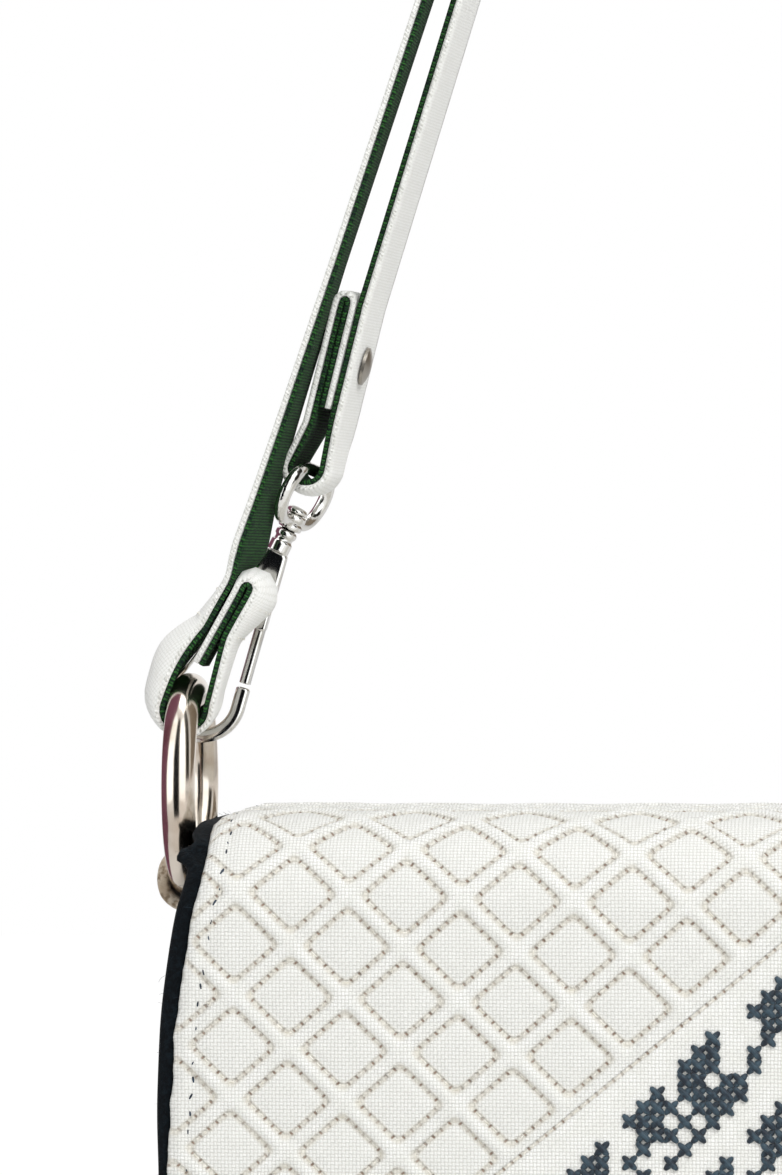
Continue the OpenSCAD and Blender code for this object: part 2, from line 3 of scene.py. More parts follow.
import bpy
import numpy as np
from mathutils import Matrix, Vector


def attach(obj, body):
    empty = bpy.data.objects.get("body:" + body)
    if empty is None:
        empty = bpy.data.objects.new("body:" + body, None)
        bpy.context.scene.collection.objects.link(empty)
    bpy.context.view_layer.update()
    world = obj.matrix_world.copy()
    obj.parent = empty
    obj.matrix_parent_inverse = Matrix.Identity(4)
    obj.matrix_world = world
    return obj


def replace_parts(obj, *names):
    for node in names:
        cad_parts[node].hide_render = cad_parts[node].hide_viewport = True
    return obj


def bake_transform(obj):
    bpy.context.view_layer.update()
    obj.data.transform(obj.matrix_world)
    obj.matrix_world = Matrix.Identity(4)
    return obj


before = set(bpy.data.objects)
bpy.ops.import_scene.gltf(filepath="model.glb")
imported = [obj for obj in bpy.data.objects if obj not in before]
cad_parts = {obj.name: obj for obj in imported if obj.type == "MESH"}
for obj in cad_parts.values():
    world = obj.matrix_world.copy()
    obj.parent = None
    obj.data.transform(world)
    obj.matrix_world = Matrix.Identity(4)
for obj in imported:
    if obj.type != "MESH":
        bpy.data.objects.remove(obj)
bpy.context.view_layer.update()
scene = bpy.context.scene
scene.view_settings.view_transform = "Standard"

# Camera
# The photograph is a close crop of the bag's upper left corner. It was taken from in front of the middle
# of the bag and a little above its top fold, through a long lens, so the side ring shows as a thin oval.
CAMERA_AT = (0.0, -1.0, -0.290)
CROP_MIDDLE = (-0.093, 0.0, -0.2855)
PHOTO_HEIGHT_PX = 1175
FOCAL_PX = 6000
SENSOR_MM = 36
CLIP_NEAR, CLIP_FAR = 0.05, 30
camera_data = bpy.data.cameras.new("camera")
camera = bpy.data.objects.new("camera", camera_data)
scene.collection.objects.link(camera)
scene.camera = camera
camera.location = CAMERA_AT
camera.rotation_euler = (Vector(CROP_MIDDLE) - Vector(CAMERA_AT)).to_track_quat("-Z", "Y").to_euler()
camera_data.sensor_width = SENSOR_MM
camera_data.lens = FOCAL_PX / PHOTO_HEIGHT_PX * SENSOR_MM
camera_data.clip_start, camera_data.clip_end = CLIP_NEAR, CLIP_FAR

# Webbing strap
# One length of cotton webbing, woven white on one face and dark green on the other. It is folded round
# the left ring, runs up and over, through the right ring, back inside itself, and ends round the hook's
# eye. Sizes here are in millimetres, and the route is that of the CAD strap.
MM = 0.001
# The rings' middle, wire and bore
RING_X, RING_Z, RING_R = 126.851, -318.6, 16.0
WIRE_R, BORE_R = 2.8, 13.2
WIRE_TOP = RING_Z + RING_R
# The thickness of the two faces, the play beside them, and the width where the strap is free or gathered
WHITE_T, GREEN_T, PLY_GAP, SOFT_GAP = 1.1, 0.9, 0.1, 0.3
WEB_W, GATHER_W, EYE_GATHER_W = 14.0, 10.0, 10.15
GATHER_Y, HOOK_Y = -3.65, 4.6
# The folds at the ring and at the hook's eye: length and lean, and where in it the sewing and the tip lie
LOWER_FOLD, LOWER_LEAN, UPPER_FOLD, UPPER_LEAN = 20.0, 29.0, 29.0, 14.0
LOWER_SEWN, LOWER_TIP, UPPER_SEWN, UPPER_TIP = 0.55, 0.25, 0.275, 0.375
EYE_LOOP_R, EYE_LOOP_ASIDE, BOW_OUT = 3.1, 0.8, 0.9
# The right ring's side, the crown, and how far the strands turn to the camera
RIGHT_JOIN, RIGHT_LEAN = 26.0, 20.0
CROWN_R = 30.0
HOOK_TURN = math.tan(math.radians(7.0))
LEFT_TURN = ((-284.0, -279.0, -272.0, -260.0, -244.0, -232.0), (0.30, 0.36, 0.20, 0.10, 0.04, 0.0))
TURN_SHIFT = 0.2
# The hook's eye, and the step along the route
EYE_X, EYE_Z = -105.851, -266.0
EYE_WIRE_R = 1.1
TAPE_STEP = 0.65


def polar(centre, radius, start, end, steps):
    angle = np.radians(np.linspace(start, end, steps + 1))
    return np.stack([centre[0] + radius * np.cos(angle), centre[1] + radius * np.sin(angle)], 1)


def straight(start, end, steps):
    share = np.linspace(0, 1, steps + 1)[:, None]
    return np.array(start) * (1 - share) + np.array(end) * share


def leaning(centre, lean, across, up):
    """A point across and up from centre, on an axis that leans from upright."""
    c, s = math.cos(math.radians(lean)), math.sin(math.radians(lean))
    return np.array([centre[0] + across * c + up * s, centre[1] - across * s + up * c])


def touching(point, centre, radius, side):
    """Where a line from point touches a circle, clockwise (-1) or anticlockwise (1) of the point."""
    d = np.array(point) - np.array(centre)
    return math.degrees(math.atan2(d[1], d[0])) % 360 + side * math.degrees(math.acos(radius / np.hypot(*d)))


def strap_route():
    """Rows of x, z, middle y, width, cup under the ring, curl to the white side, and turn to the camera."""
    turn_r = WIRE_R + SOFT_GAP + GREEN_T
    # The upper fold is a loose loop, whose bottom rests on the eye
    eye_turn = EYE_WIRE_R + SOFT_GAP + GREEN_T
    hairpin = GREEN_T + PLY_GAP / 2
    web_t = WHITE_T + GREEN_T
    left, right, eye = (-RING_X, WIRE_TOP), (RING_X, WIRE_TOP), (EYE_X, EYE_Z)
    loop = (eye[0] - EYE_LOOP_ASIDE, eye[1] + EYE_LOOP_R - eye_turn)
    low = lambda n, u: leaning(left, LOWER_LEAN, n, u)
    rise = lambda n, u: leaning(right, -RIGHT_LEAN, n, u)
    up = lambda n, u: leaning(eye, UPPER_LEAN, n, u)
    crown, inner, outer = (0.0, -CROWN_R), CROWN_R + WHITE_T, CROWN_R + web_t + PLY_GAP + GREEN_T
    sewn_up, tip_up = LOWER_FOLD * LOWER_SEWN, LOWER_FOLD * LOWER_TIP
    eye_sewn, eye_tip = UPPER_FOLD * UPPER_SEWN, UPPER_FOLD * UPPER_TIP
    start, up_start = low(-web_t - PLY_GAP, LOWER_FOLD), up(web_t + PLY_GAP, UPPER_FOLD)
    right_out, right_in = rise(GREEN_T + PLY_GAP, RIGHT_JOIN), rise(-GREEN_T - PLY_GAP, RIGHT_JOIN)
    outer_left, outer_right = touching(start, crown, outer, -1), touching(right_out, crown, outer, 1) - 360
    inner_right, inner_left = touching(right_in, crown, inner, 1) - 360, touching(up_start, crown, inner, -1)
    turn_in, turn_out = touching(right_out, right, turn_r, -1), touching(right_in, right, turn_r, 1) - 360
    on = lambda c, r, a: polar(c, r, a, a, 0)[0]
    bow = straight(left - np.array([turn_r, 0]), low(-web_t - PLY_GAP, sewn_up), 14)
    way = bow[-1] - bow[0]
    bow += (np.array([-way[1], way[0]]) / np.hypot(*way) * BOW_OUT
        * np.sin(np.linspace(0, math.pi, 15))[:, None])
    hairpins = lambda place, n, height: np.array([
        place(n + hairpin * (1 - math.cos(a)), height + hairpin * math.sin(a))
        for a in np.linspace(0, math.pi, 13)])
    # Each part of the route: its points, then (middle y, width, cup, curl, turn) at its two ends
    under_right, under_left = (GATHER_Y, GATHER_W, 1, 1.0, 0), (GATHER_Y, GATHER_W, 1, 2.2, 0)
    bulging, sewn_left = (GATHER_Y, GATHER_W, 0.5, 3.4, 0), (GATHER_Y, GATHER_W, 0, 1.7, 0)
    sewn, sewn_top = (GATHER_Y, GATHER_W, 0, 0.8, 0), (GATHER_Y, GATHER_W, 0, 3.8, 0)
    tucked = (GATHER_Y, GATHER_W, 0, 0, 0)
    wide, middle = (GATHER_Y / 2, WEB_W, 0, 0, 0), (0, WEB_W, 0, 0, 0)
    middle_sewn, middle_cup = (0, GATHER_W, 0, 0, 0), (0, GATHER_W, 1, 1.5, 0)
    hooked, hook_cup = (HOOK_Y, WEB_W, 0, 0, HOOK_TURN), (HOOK_Y, EYE_GATHER_W, 0, 0.8, HOOK_TURN)
    # Above the lower fold the strand turns its green face a little towards the camera, round its front edge
    free = straight(start, on(crown, outer, outer_left), 60)
    free_turn = np.interp(free[:, 1], *LEFT_TURN)
    free[:, 0] += free_turn * WEB_W * TURN_SHIFT
    turned = np.linspace(0, 1, 61)[:, None] * (np.array(wide) - tucked) + tucked
    turned[:, 4] = free_turn
    parts = [
        (straight(low(0, tip_up), low(0, LOWER_FOLD), 8), tucked, tucked),
        (hairpins(low, 0, LOWER_FOLD), tucked, sewn_top),
        (straight(low(2 * hairpin, LOWER_FOLD), low(2 * hairpin, sewn_up), 8), sewn_top, sewn),
        (straight(low(2 * hairpin, sewn_up), (left[0] + turn_r, left[1]), 10), sewn, under_right),
        (polar(left, turn_r, 0, -180, 20), under_right, under_left),
        (bow[:8], under_left, bulging),
        (bow[7:], bulging, sewn_left),
        (straight(low(-web_t - PLY_GAP, sewn_up), start, 8), sewn_left, tucked),
        (free, turned, turned),
        (polar(crown, outer, outer_left, outer_right, 60), wide, middle),
        (straight(on(crown, outer, outer_right), right_out, 60), middle, middle_sewn),
        (straight(right_out, on(right, turn_r, turn_in), 10), middle_sewn, middle_cup),
        (polar(right, turn_r, turn_in, turn_out, 20), middle_cup, middle_cup),
        (straight(on(right, turn_r, turn_out), right_in, 10), middle_cup, middle_sewn),
        (straight(right_in, on(crown, inner, inner_right), 60), middle_sewn, middle),
        (polar(crown, inner, inner_right, inner_left, 60), middle, hooked),
        (straight(on(crown, inner, inner_left), up_start, 60), hooked, hooked),
        (straight(up_start, up(web_t + PLY_GAP, eye_sewn), 8), hooked, hooked),
        (straight(up(web_t + PLY_GAP, eye_sewn), (loop[0] + EYE_LOOP_R, loop[1]), 6), hooked, hook_cup),
        (polar(loop, EYE_LOOP_R, 0, -180, 16), hook_cup, hook_cup),
        (straight((loop[0] - EYE_LOOP_R, loop[1]), up(-2 * hairpin, eye_sewn), 6), hook_cup, hooked),
        (straight(up(-2 * hairpin, eye_sewn), up(-2 * hairpin, UPPER_FOLD), 8), hooked, hooked),
        (hairpins(up, -2 * hairpin, UPPER_FOLD), hooked, hooked),
        (straight(up(0, UPPER_FOLD), up(0, eye_tip), 8), hooked, hooked),
    ]
    rows = []
    for points, at_start, at_end in parts:
        share = np.linspace(0, 1, len(points))[:, None]
        held = np.array(at_start) * (1 - share) + np.array(at_end) * share
        rows.append(np.hstack([points, held])[1 if rows else 0:])
    rows = np.vstack(rows)
    length = np.concatenate([[0], np.cumsum(np.hypot(*np.diff(rows[:, :2], axis=0).T))])
    even = np.linspace(0, length[-1], int(length[-1] / TAPE_STEP))
    out = np.stack([np.interp(even, length, rows[:, k]) for k in range(rows.shape[1])], 1)
    kernel = np.array([1, 2, 3, 2, 1]) / 9
    for k in (2, 3, 4, 5, 6):
        for _ in range(3):
            out[:, k] = np.convolve(np.pad(out[:, k], 2, mode="edge"), kernel, "valid")
    for k in (0, 1):
        smooth = np.convolve(np.pad(out[:, k], 1, mode="edge"), [0.25, 0.5, 0.25], "valid")
        out[1:-1, k] = smooth[1:-1]
    return out, even


ROUTE, ROUTE_LENGTH = strap_route()


def on_strap(rows, across, off):
    """Points on the tape: across is a share of its width, off is from the seam between its two faces."""
    way = np.gradient(ROUTE[:, :2], axis=0)
    side = np.stack([-way[:, 1], way[:, 0]], 1) / np.hypot(*way.T)[:, None]
    row, side = ROUTE[rows], side[rows]
    y = row[:, 2] + row[:, 3] * across
    reach = np.minimum(np.abs(y), BORE_R * 0.98)
    cup = row[:, 4] * (BORE_R - np.sqrt(BORE_R ** 2 - reach ** 2))
    out = off + row[:, 5] * (1 - (2 * across) ** 2)
    turn = row[:, 6] * row[:, 3] * across
    return np.stack([row[:, 0] + side[:, 0] * out + turn, y, row[:, 1] + side[:, 1] * out - cup], -1)


def new_piece(name, points, faces, cloth=None):
    """A smooth mesh from points in millimetres, with the cloth's own millimetres as an attribute."""
    mesh = bpy.data.meshes.new(name)
    mesh.from_pydata(np.asarray(points, float) * MM, [], faces)
    mesh.polygons.foreach_set("use_smooth", np.ones(len(mesh.polygons), bool))
    if cloth is not None:
        layer = mesh.attributes.new("cloth", "FLOAT_VECTOR", "POINT")
        layer.data.foreach_set("vector", np.asarray(cloth, np.float32).ravel())
    mesh.update()
    piece = bpy.data.objects.new(name, mesh)
    scene.collection.objects.link(piece)
    return piece


def face_out(piece):
    """Turns a closed skin's faces outwards."""
    mesh = piece.data
    mesh.calc_loop_triangles()
    corner = np.empty(len(mesh.loop_triangles) * 3, np.int32)
    mesh.loop_triangles.foreach_get("vertices", corner)
    place = np.empty(len(mesh.vertices) * 3, np.float32)
    mesh.vertices.foreach_get("co", place)
    a, b, c = np.moveaxis(place.reshape(-1, 3)[corner.reshape(-1, 3)].astype(float), 1, 0)
    if (a * np.cross(b, c)).sum() < 0:
        mesh.flip_normals()
    return piece


def skin_faces(rows, around, closed=False, first=0):
    """Quads through rows of closed rings, with the two ends capped unless the rows close too."""
    index = np.arange(first, first + rows * around).reshape(rows, around)
    a, b = (index, np.roll(index, -1, 0)) if closed else (index[:-1], index[1:])
    quads = np.stack([a, np.roll(a, -1, 1), np.roll(b, -1, 1), b], -1).reshape(-1, 4).tolist()
    return quads if closed else quads + [index[0][::-1].tolist(), index[-1].tolist()]


def lofted(name, rings, cloth=None, closed=False):
    """A closed skin over a row of rings of points."""
    rings = np.asarray(rings, float)
    faces = skin_faces(*rings.shape[:2], closed)
    flat = None if cloth is None else np.asarray(cloth).reshape(-1, 3)
    return face_out(new_piece(name, rings.reshape(-1, 3), faces, flat))


def tape_ply(name, low, high):
    """One woven face of the webbing, with rounded edges."""
    flat = np.linspace(-0.5, 0.5, 9)
    edge, edge_in, rounding = 0.5, 0.0075, 0.12
    middle = (low + high) / 2
    section = [(a, high) for a in flat[1:-1]] + [(edge - edge_in, high - rounding), (edge, middle),
        (edge - edge_in, low + rounding)] + [(a, low) for a in flat[-2:0:-1]] + [
        (edge_in - edge, low + rounding), (-edge, middle), (edge_in - edge, high - rounding)]
    every = np.arange(len(ROUTE))
    rings = np.stack([on_strap(every, a, o) for a, o in section], 1)
    cloth = np.stack([np.stack([ROUTE[:, 3] * 0 + a * WEB_W, ROUTE_LENGTH, every * 0.0 + o], -1)
        for a, o in section], 1)
    return lofted(name, rings, cloth)


class Value:
    """One number in a shader. Python's operators on it add Math nodes."""

    def __init__(self, tree, socket):
        self.tree, self.socket = tree, socket

    def math(self, operation, *others):
        node = self.tree.nodes.new("ShaderNodeMath")
        node.operation = operation
        for socket, value in zip(node.inputs, (self, *others)):
            feed(self.tree, socket, value)
        return Value(self.tree, node.outputs[0])

    def __add__(self, other):
        return self.math("ADD", other)

    def __sub__(self, other):
        return self.math("SUBTRACT", other)

    def __rsub__(self, other):
        return self.math("MULTIPLY_ADD", -1, other)

    def __mul__(self, other):
        return self.math("MULTIPLY", other)

    def __truediv__(self, other):
        return self.math("DIVIDE", other)

    def __pow__(self, other):
        return self.math("POWER", other)

    def __abs__(self):
        return self.math("ABSOLUTE")

    __radd__, __rmul__ = __add__, __mul__

    def sine(self):
        return self.math("SINE")

    def nearest(self):
        return self.math("ROUND")

    def over(self, limit):
        return self.math("GREATER_THAN", limit)

    def least(self, other):
        return self.math("MINIMUM", other)

    def most(self, other):
        return self.math("MAXIMUM", other)

    def fade(self, start, end):
        """0 at start and 1 at end, smoothly, in whichever order they lie."""
        node = self.tree.nodes.new("ShaderNodeMapRange")
        node.interpolation_type = "SMOOTHSTEP"
        low, high = min(start, end), max(start, end)
        for name, value in (("Value", self), ("From Min", low), ("From Max", high)):
            feed(self.tree, node.inputs[name], value)
        share = Value(self.tree, node.outputs[0])
        return share if start <= end else 1 - share


def feed(tree, socket, value):
    if isinstance(value, Value):
        tree.links.new(value.socket, socket)
    elif isinstance(value, bpy.types.NodeSocket):
        tree.links.new(value, socket)
    else:
        socket.default_value = value


class Finish:
    """A material in the making, on one Principled shader."""

    def __init__(self, name, **fixed):
        self.material = bpy.data.materials.new(name)
        self.material.use_nodes = True
        self.tree = self.material.node_tree
        self.shader = self.tree.nodes["Principled BSDF"]
        for socket, value in fixed.items():
            self.shader.inputs[socket.replace("_", " ")].default_value = value

    def add(self, kind, settings=None, output=0, **inputs):
        """The output of a new node, with its settings made first and then its inputs."""
        node = self.tree.nodes.new("ShaderNode" + kind)
        for key, value in (settings or {}).items():
            setattr(node, key, value)
        for key, value in inputs.items():
            feed(self.tree, node.inputs[key.replace("_", " ")], value)
        return node.outputs[output]

    def cloth(self):
        """The cloth's own two directions, in millimetres."""
        split = self.tree.nodes.new("ShaderNodeSeparateXYZ")
        feed(self.tree, split.inputs[0], self.add("Attribute", {"attribute_name": "cloth"}, output=1))
        return [Value(self.tree, split.outputs[k]) for k in (0, 1, 2)]

    def place(self):
        return self.add("TexCoord", output=3)

    def noise(self, scale, detail=2.0, roughness=0.5, at=None, stretch=None):
        at = self.place() if at is None else at
        if stretch is not None:
            at = self.add("Mapping", Vector=at, Scale=stretch)
        made = self.add("TexNoise", Vector=at, Scale=scale, Detail=detail, Roughness=roughness)
        return Value(self.tree, made)

    def joined(self, x, y, z=0.0):
        return self.add("CombineXYZ", X=x, Y=y, Z=z)

    def blend(self, share, first, second):
        """Mixes two colours."""
        node = self.tree.nodes.new("ShaderNodeMix")
        node.data_type = "RGBA"
        for socket, value in ((node.inputs[0], share), (node.inputs[6], first), (node.inputs[7], second)):
            feed(self.tree, socket, value)
        return node.outputs[2]

    def set(self, **inputs):
        for key, value in inputs.items():
            feed(self.tree, self.shader.inputs[key.replace("_", " ")], value)

    def relief(self, height, distance, strength=1.0):
        bump = self.tree.nodes.new("ShaderNodeBump")
        bump.inputs["Strength"].default_value = strength
        bump.inputs["Distance"].default_value = distance * MM
        feed(self.tree, bump.inputs["Height"], height)
        self.tree.links.new(bump.outputs[0], self.shader.inputs["Normal"])


def wear(piece, finish):
    """Gives a piece one finish."""
    piece.data.materials.clear()
    piece.data.materials.append(finish.material)
    return piece


def colour(red, green, blue):
    """A colour written as on a screen, 0 to 255, as Blender's linear numbers."""
    linear = [(c / 255 / 12.92) if c <= 10 else ((c / 255 + 0.055) / 1.055) ** 2.4
        for c in (red, green, blue)]
    return (*linear, 1.0)


def plain_weave(across, along, pitch):
    """Height of a plain weave: two families of threads that pass over and under each other."""
    a = (across * (math.pi / pitch)).sine()
    b = (along * (math.pi / pitch)).sine()
    over = (a * b).over(0)
    return over * abs(a) * (0.55 + 0.45 * abs(b)) + (1 - over) * abs(b) * (0.55 + 0.45 * abs(a))


def webbing_finish(name, high, low, fleck, pitch, sheen, relief, picks):
    """Cotton tape: small slanting picks, with painted shade in the gaps between them."""
    finish = Finish(name, Roughness=0.9, Sheen_Weight=sheen, Sheen_Roughness=0.6, Specular_IOR_Level=0.15)
    across, along, _ = finish.cloth()
    slur = finish.noise(0.9, 2, at=finish.joined(across, along * 0.4)) - 0.5
    height = plain_weave(across + along * 0.5 + slur * 0.3, along + slur * 0.3, pitch)
    tone = finish.noise(2.2, 3, at=finish.joined(across, along * 0.3))
    # The low colour is painted shade, faded in where the weave sinks between the threads
    base = finish.blend(height.fade(*picks), low, high)
    finish.set(Base_Color=finish.blend(tone.fade(0.48, 0.66) * 0.75, base, fleck))
    finish.relief(height + tone * 0.5, relief, 0.8)
    return finish


WEB_PITCH, FACE_GAP = 0.5, 0.02
# Each tape's second colour is painted shade in the gaps of its weave
white_finish = webbing_finish("webbing_white", colour(238, 238, 235), colour(221, 221, 216),
    colour(228, 227, 222), WEB_PITCH, 0.2, 0.035, (0.1, 0.7))
green_finish = webbing_finish("webbing_green", colour(46, 98, 42), colour(6, 26, 14),
    colour(7, 20, 22), WEB_PITCH, 0.03, 0.16, (0.4, 0.95))
white_tape = wear(tape_ply("strap_white_face", 0.0, WHITE_T), white_finish)
green_tape = wear(tape_ply("strap_green_face", -GREEN_T, -FACE_GAP), green_finish)
for tape, node in ((white_tape, "webbing_white"), (green_tape, "webbing_green")):
    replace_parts(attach(tape, "strap"), node)


def thread_tree(sides, rings):
    """Geometry Nodes that lay one short rounded thread at each point, turned as the point says."""
    tree = bpy.data.node_groups.new("threads", "GeometryNodeTree")
    tree.interface.new_socket("Geometry", in_out="INPUT", socket_type="NodeSocketGeometry")
    for name in ("Length", "Width", "Height", "Unevenness"):
        tree.interface.new_socket(name, in_out="INPUT", socket_type="NodeSocketFloat")
    tree.interface.new_socket("Seed", in_out="INPUT", socket_type="NodeSocketInt")
    tree.interface.new_socket("Thread", in_out="INPUT", socket_type="NodeSocketMaterial")
    tree.interface.new_socket("Geometry", in_out="OUTPUT", socket_type="NodeSocketGeometry")
    new, link = tree.nodes.new, tree.links.new
    given, result = new("NodeGroupInput"), new("NodeGroupOutput")
    ball = new("GeometryNodeMeshUVSphere")
    ball.inputs["Segments"].default_value, ball.inputs["Rings"].default_value = sides, rings
    ball.inputs["Radius"].default_value = 0.5
    # The ball is pushed out along X, so that a thread's ends are blunt
    at, parts, blunt, place = (new(kind) for kind in ("GeometryNodeInputPosition", "ShaderNodeSeparateXYZ",
        "ShaderNodeCombineXYZ", "GeometryNodeSetPosition"))
    way, far, half, spread, pushed = (new("ShaderNodeMath") for _ in range(5))
    for node, operation, value in ((way, "SIGN", 0), (far, "ABSOLUTE", 0),
            (half, "MULTIPLY", 0.5), (spread, "POWER", 0.5),
            (pushed, "MULTIPLY", 0)):
        node.operation = operation
        node.inputs[1].default_value = value
    link(at.outputs[0], parts.inputs[0])
    link(parts.outputs["X"], way.inputs[0])
    link(parts.outputs["X"], far.inputs[0])
    link(far.outputs[0], half.inputs[0])
    link(half.outputs[0], spread.inputs[0])
    link(way.outputs[0], pushed.inputs[0])
    link(spread.outputs[0], pushed.inputs[1])
    link(pushed.outputs[0], blunt.inputs["X"])
    link(parts.outputs["Y"], blunt.inputs["Y"])
    link(parts.outputs["Z"], blunt.inputs["Z"])
    link(ball.outputs["Mesh"], place.inputs["Geometry"])
    link(blunt.outputs[0], place.inputs["Position"])
    size = new("ShaderNodeCombineXYZ")
    for axis, name in zip("XYZ", ("Length", "Width", "Height")):
        link(given.outputs[name], size.inputs[axis])
    shape = new("GeometryNodeTransform")
    link(place.outputs[0], shape.inputs["Geometry"])
    link(size.outputs[0], shape.inputs["Scale"])
    turn = new("GeometryNodeInputNamedAttribute")
    turn.data_type = "QUATERNION"
    turn.inputs["Name"].default_value = "turn"
    uneven = new("FunctionNodeRandomValue")
    uneven.data_type = "FLOAT"
    less, more = new("ShaderNodeMath"), new("ShaderNodeMath")
    less.operation, more.operation = "SUBTRACT", "ADD"
    for node in (less, more):
        node.inputs[0].default_value = 1.0
        link(given.outputs["Unevenness"], node.inputs[1])
    floats = [s for s in uneven.inputs if s.type == "VALUE"]
    link(less.outputs[0], floats[0])
    link(more.outputs[0], floats[1])
    link(given.outputs["Seed"], uneven.inputs["Seed"])
    laid = new("GeometryNodeInstanceOnPoints")
    link(given.outputs["Geometry"], laid.inputs["Points"])
    link(shape.outputs[0], laid.inputs["Instance"])
    link(turn.outputs["Attribute"], laid.inputs["Rotation"])
    link([s for s in uneven.outputs if s.type == "VALUE"][0], laid.inputs["Scale"])
    real, smooth, paint = new("GeometryNodeRealizeInstances"), new("GeometryNodeSetShadeSmooth"), new(
        "GeometryNodeSetMaterial")
    link(laid.outputs[0], real.inputs[0])
    link(real.outputs[0], smooth.inputs[0])
    link(smooth.outputs[0], paint.inputs["Geometry"])
    link(given.outputs["Thread"], paint.inputs["Material"])
    link(paint.outputs[0], result.inputs[0])
    return tree


def grown(host, tree, name, values):
    """The plain mesh that a Geometry Nodes tree makes of host, as a new piece."""
    modifier = host.modifiers.new("grow", "NODES")
    modifier.node_group = tree
    for item in tree.interface.items_tree:
        if item.item_type == "SOCKET" and item.in_out == "INPUT" and item.name in values:
            modifier[item.identifier] = values[item.name]
    host.update_tag()
    bpy.context.view_layer.update()
    graph = bpy.context.evaluated_depsgraph_get()
    mesh = bpy.data.meshes.new_from_object(host.evaluated_get(graph), depsgraph=graph)
    host.modifiers.remove(modifier)
    mesh.name = name
    piece = bpy.data.objects.new(name, mesh)
    scene.collection.objects.link(piece)
    return piece


def turns(along, out):
    """Quaternions that point X along the thread and Z out of the cloth."""
    along = along / np.linalg.norm(along, axis=1, keepdims=True)
    out = out - along * (out * along).sum(1, keepdims=True)
    out = out / np.linalg.norm(out, axis=1, keepdims=True)
    side = np.cross(out, along)
    return np.array([Matrix((a, s, o)).transposed().to_quaternion()
        for a, s, o in zip(along, side, out)], float)


COARSE_THREAD, ROUND_THREAD = thread_tree(5, 3), thread_tree(8, 5)


def sewn(name, at, along, out, size, finish, uneven=0.1, seed=1, tree=None):
    """Threads at points in millimetres, each size = (length, width, height) and lying along the surface."""
    mesh = bpy.data.meshes.new(name + "_points")
    mesh.from_pydata(np.asarray(at, float) * MM, [], [])
    layer = mesh.attributes.new("turn", "QUATERNION", "POINT")
    turned = turns(np.asarray(along, float), np.asarray(out, float))
    layer.data.foreach_set("value", turned.astype(np.float32).ravel())
    host = bpy.data.objects.new(name + "_points", mesh)
    scene.collection.objects.link(host)
    values = {"Length": size[0] * MM, "Width": size[1] * MM, "Height": size[2] * MM, "Unevenness": uneven,
        "Seed": seed, "Thread": finish.material}
    piece = grown(host, tree or COARSE_THREAD, name, values)
    bpy.data.objects.remove(host)
    return piece


# The white face's edges are looped over the green one, a loop at every pick
selvedge_finish = Finish("webbing_selvedge", Roughness=0.9, Sheen_Weight=0.2, Specular_IOR_Level=0.15)
selvedge_finish.set(Base_Color=selvedge_finish.blend(selvedge_finish.noise(1500.0, 2).fade(0.4, 0.62),
    colour(204, 204, 198), colour(236, 236, 233)))
LOOP_PITCH, LOOP_END, LOOP_ACROSS, LOOP_OFF, LOOP_LEAN = 0.66, 0.4, 0.485, 0.52, 1.4
LOOP_SIZE = (0.95, 0.5, 0.6)
loop_rows = np.interp(np.arange(LOOP_END, ROUTE_LENGTH[-1] - LOOP_END, LOOP_PITCH), ROUTE_LENGTH,
    np.arange(len(ROUTE)))
loop_rows = loop_rows.round().astype(int)
loop_at, loop_along, loop_out = [], [], []
for edge in (-1, 1):
    on_edge = lambda rows, off=LOOP_OFF: on_strap(rows, edge * LOOP_ACROSS, WHITE_T * off)
    a = on_edge(loop_rows)
    b = on_edge(np.minimum(loop_rows + 1, len(ROUTE) - 1))
    c = on_edge(np.maximum(loop_rows - 1, 0))
    white_side = on_edge(loop_rows, 1.5) - a
    loop_at.append(a)
    loop_along.append((b - c) + white_side * LOOP_LEAN)
    loop_out.append(np.tile([0, edge, 0], (len(a), 1)))
selvedge = sewn("strap_selvedge_loops", np.vstack(loop_at), np.vstack(loop_along), np.vstack(loop_out),
    LOOP_SIZE, selvedge_finish, 0.12, 3)
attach(selvedge, "strap")

# Sewing of the strap
# Two rows of lockstitch close the fold above the left ring. The thread is cotton, as pale as the white
# face, and sinks a little into the webbing.
thread_finish = Finish("pale_thread", Roughness=0.85, Sheen_Weight=0.2)
thread_finish.set(Base_Color=thread_finish.blend(thread_finish.noise(900.0, 1).fade(0.4, 0.6),
    colour(222, 219, 208), colour(240, 238, 231)))
STITCH_ACROSS, STITCH_SIZE, STITCH_LIFT = np.linspace(-0.35, 0.35, 6), (1.3, 0.4, 0.16), 0.05
SEAM_SIDES, SEAM_HEIGHTS = (-2.1, 1.9), (12.0, 17.5)
low_rows = [int(np.argmin(np.hypot(*(ROUTE[:, :2] - leaning((-RING_X, WIRE_TOP), LOWER_LEAN, n, u)).T)))
    for n in SEAM_SIDES for u in SEAM_HEIGHTS]
seam_at, seam_along, seam_out = [], [], []
for row in low_rows:
    rows = np.full(len(STITCH_ACROSS), row)
    a = on_strap(rows, STITCH_ACROSS, WHITE_T)
    seam_at.append(a + (a - on_strap(rows, STITCH_ACROSS, 0.0)) * STITCH_LIFT)
    seam_along.append(np.tile([0, 1.0, 0], (len(a), 1)))
    seam_out.append(a - on_strap(rows, STITCH_ACROSS, 0.0))
strap_sewing = sewn("strap_sewing", np.vstack(seam_at), np.vstack(seam_along), np.vstack(seam_out),
    STITCH_SIZE, thread_finish, 0.1, 5, ROUND_THREAD)
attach(strap_sewing, "strap")

# Rivet
# A tubular rivet holds the upper fold. Its domed cap and its post's head are turned steel, dulled with
# fine rings and small knocks.


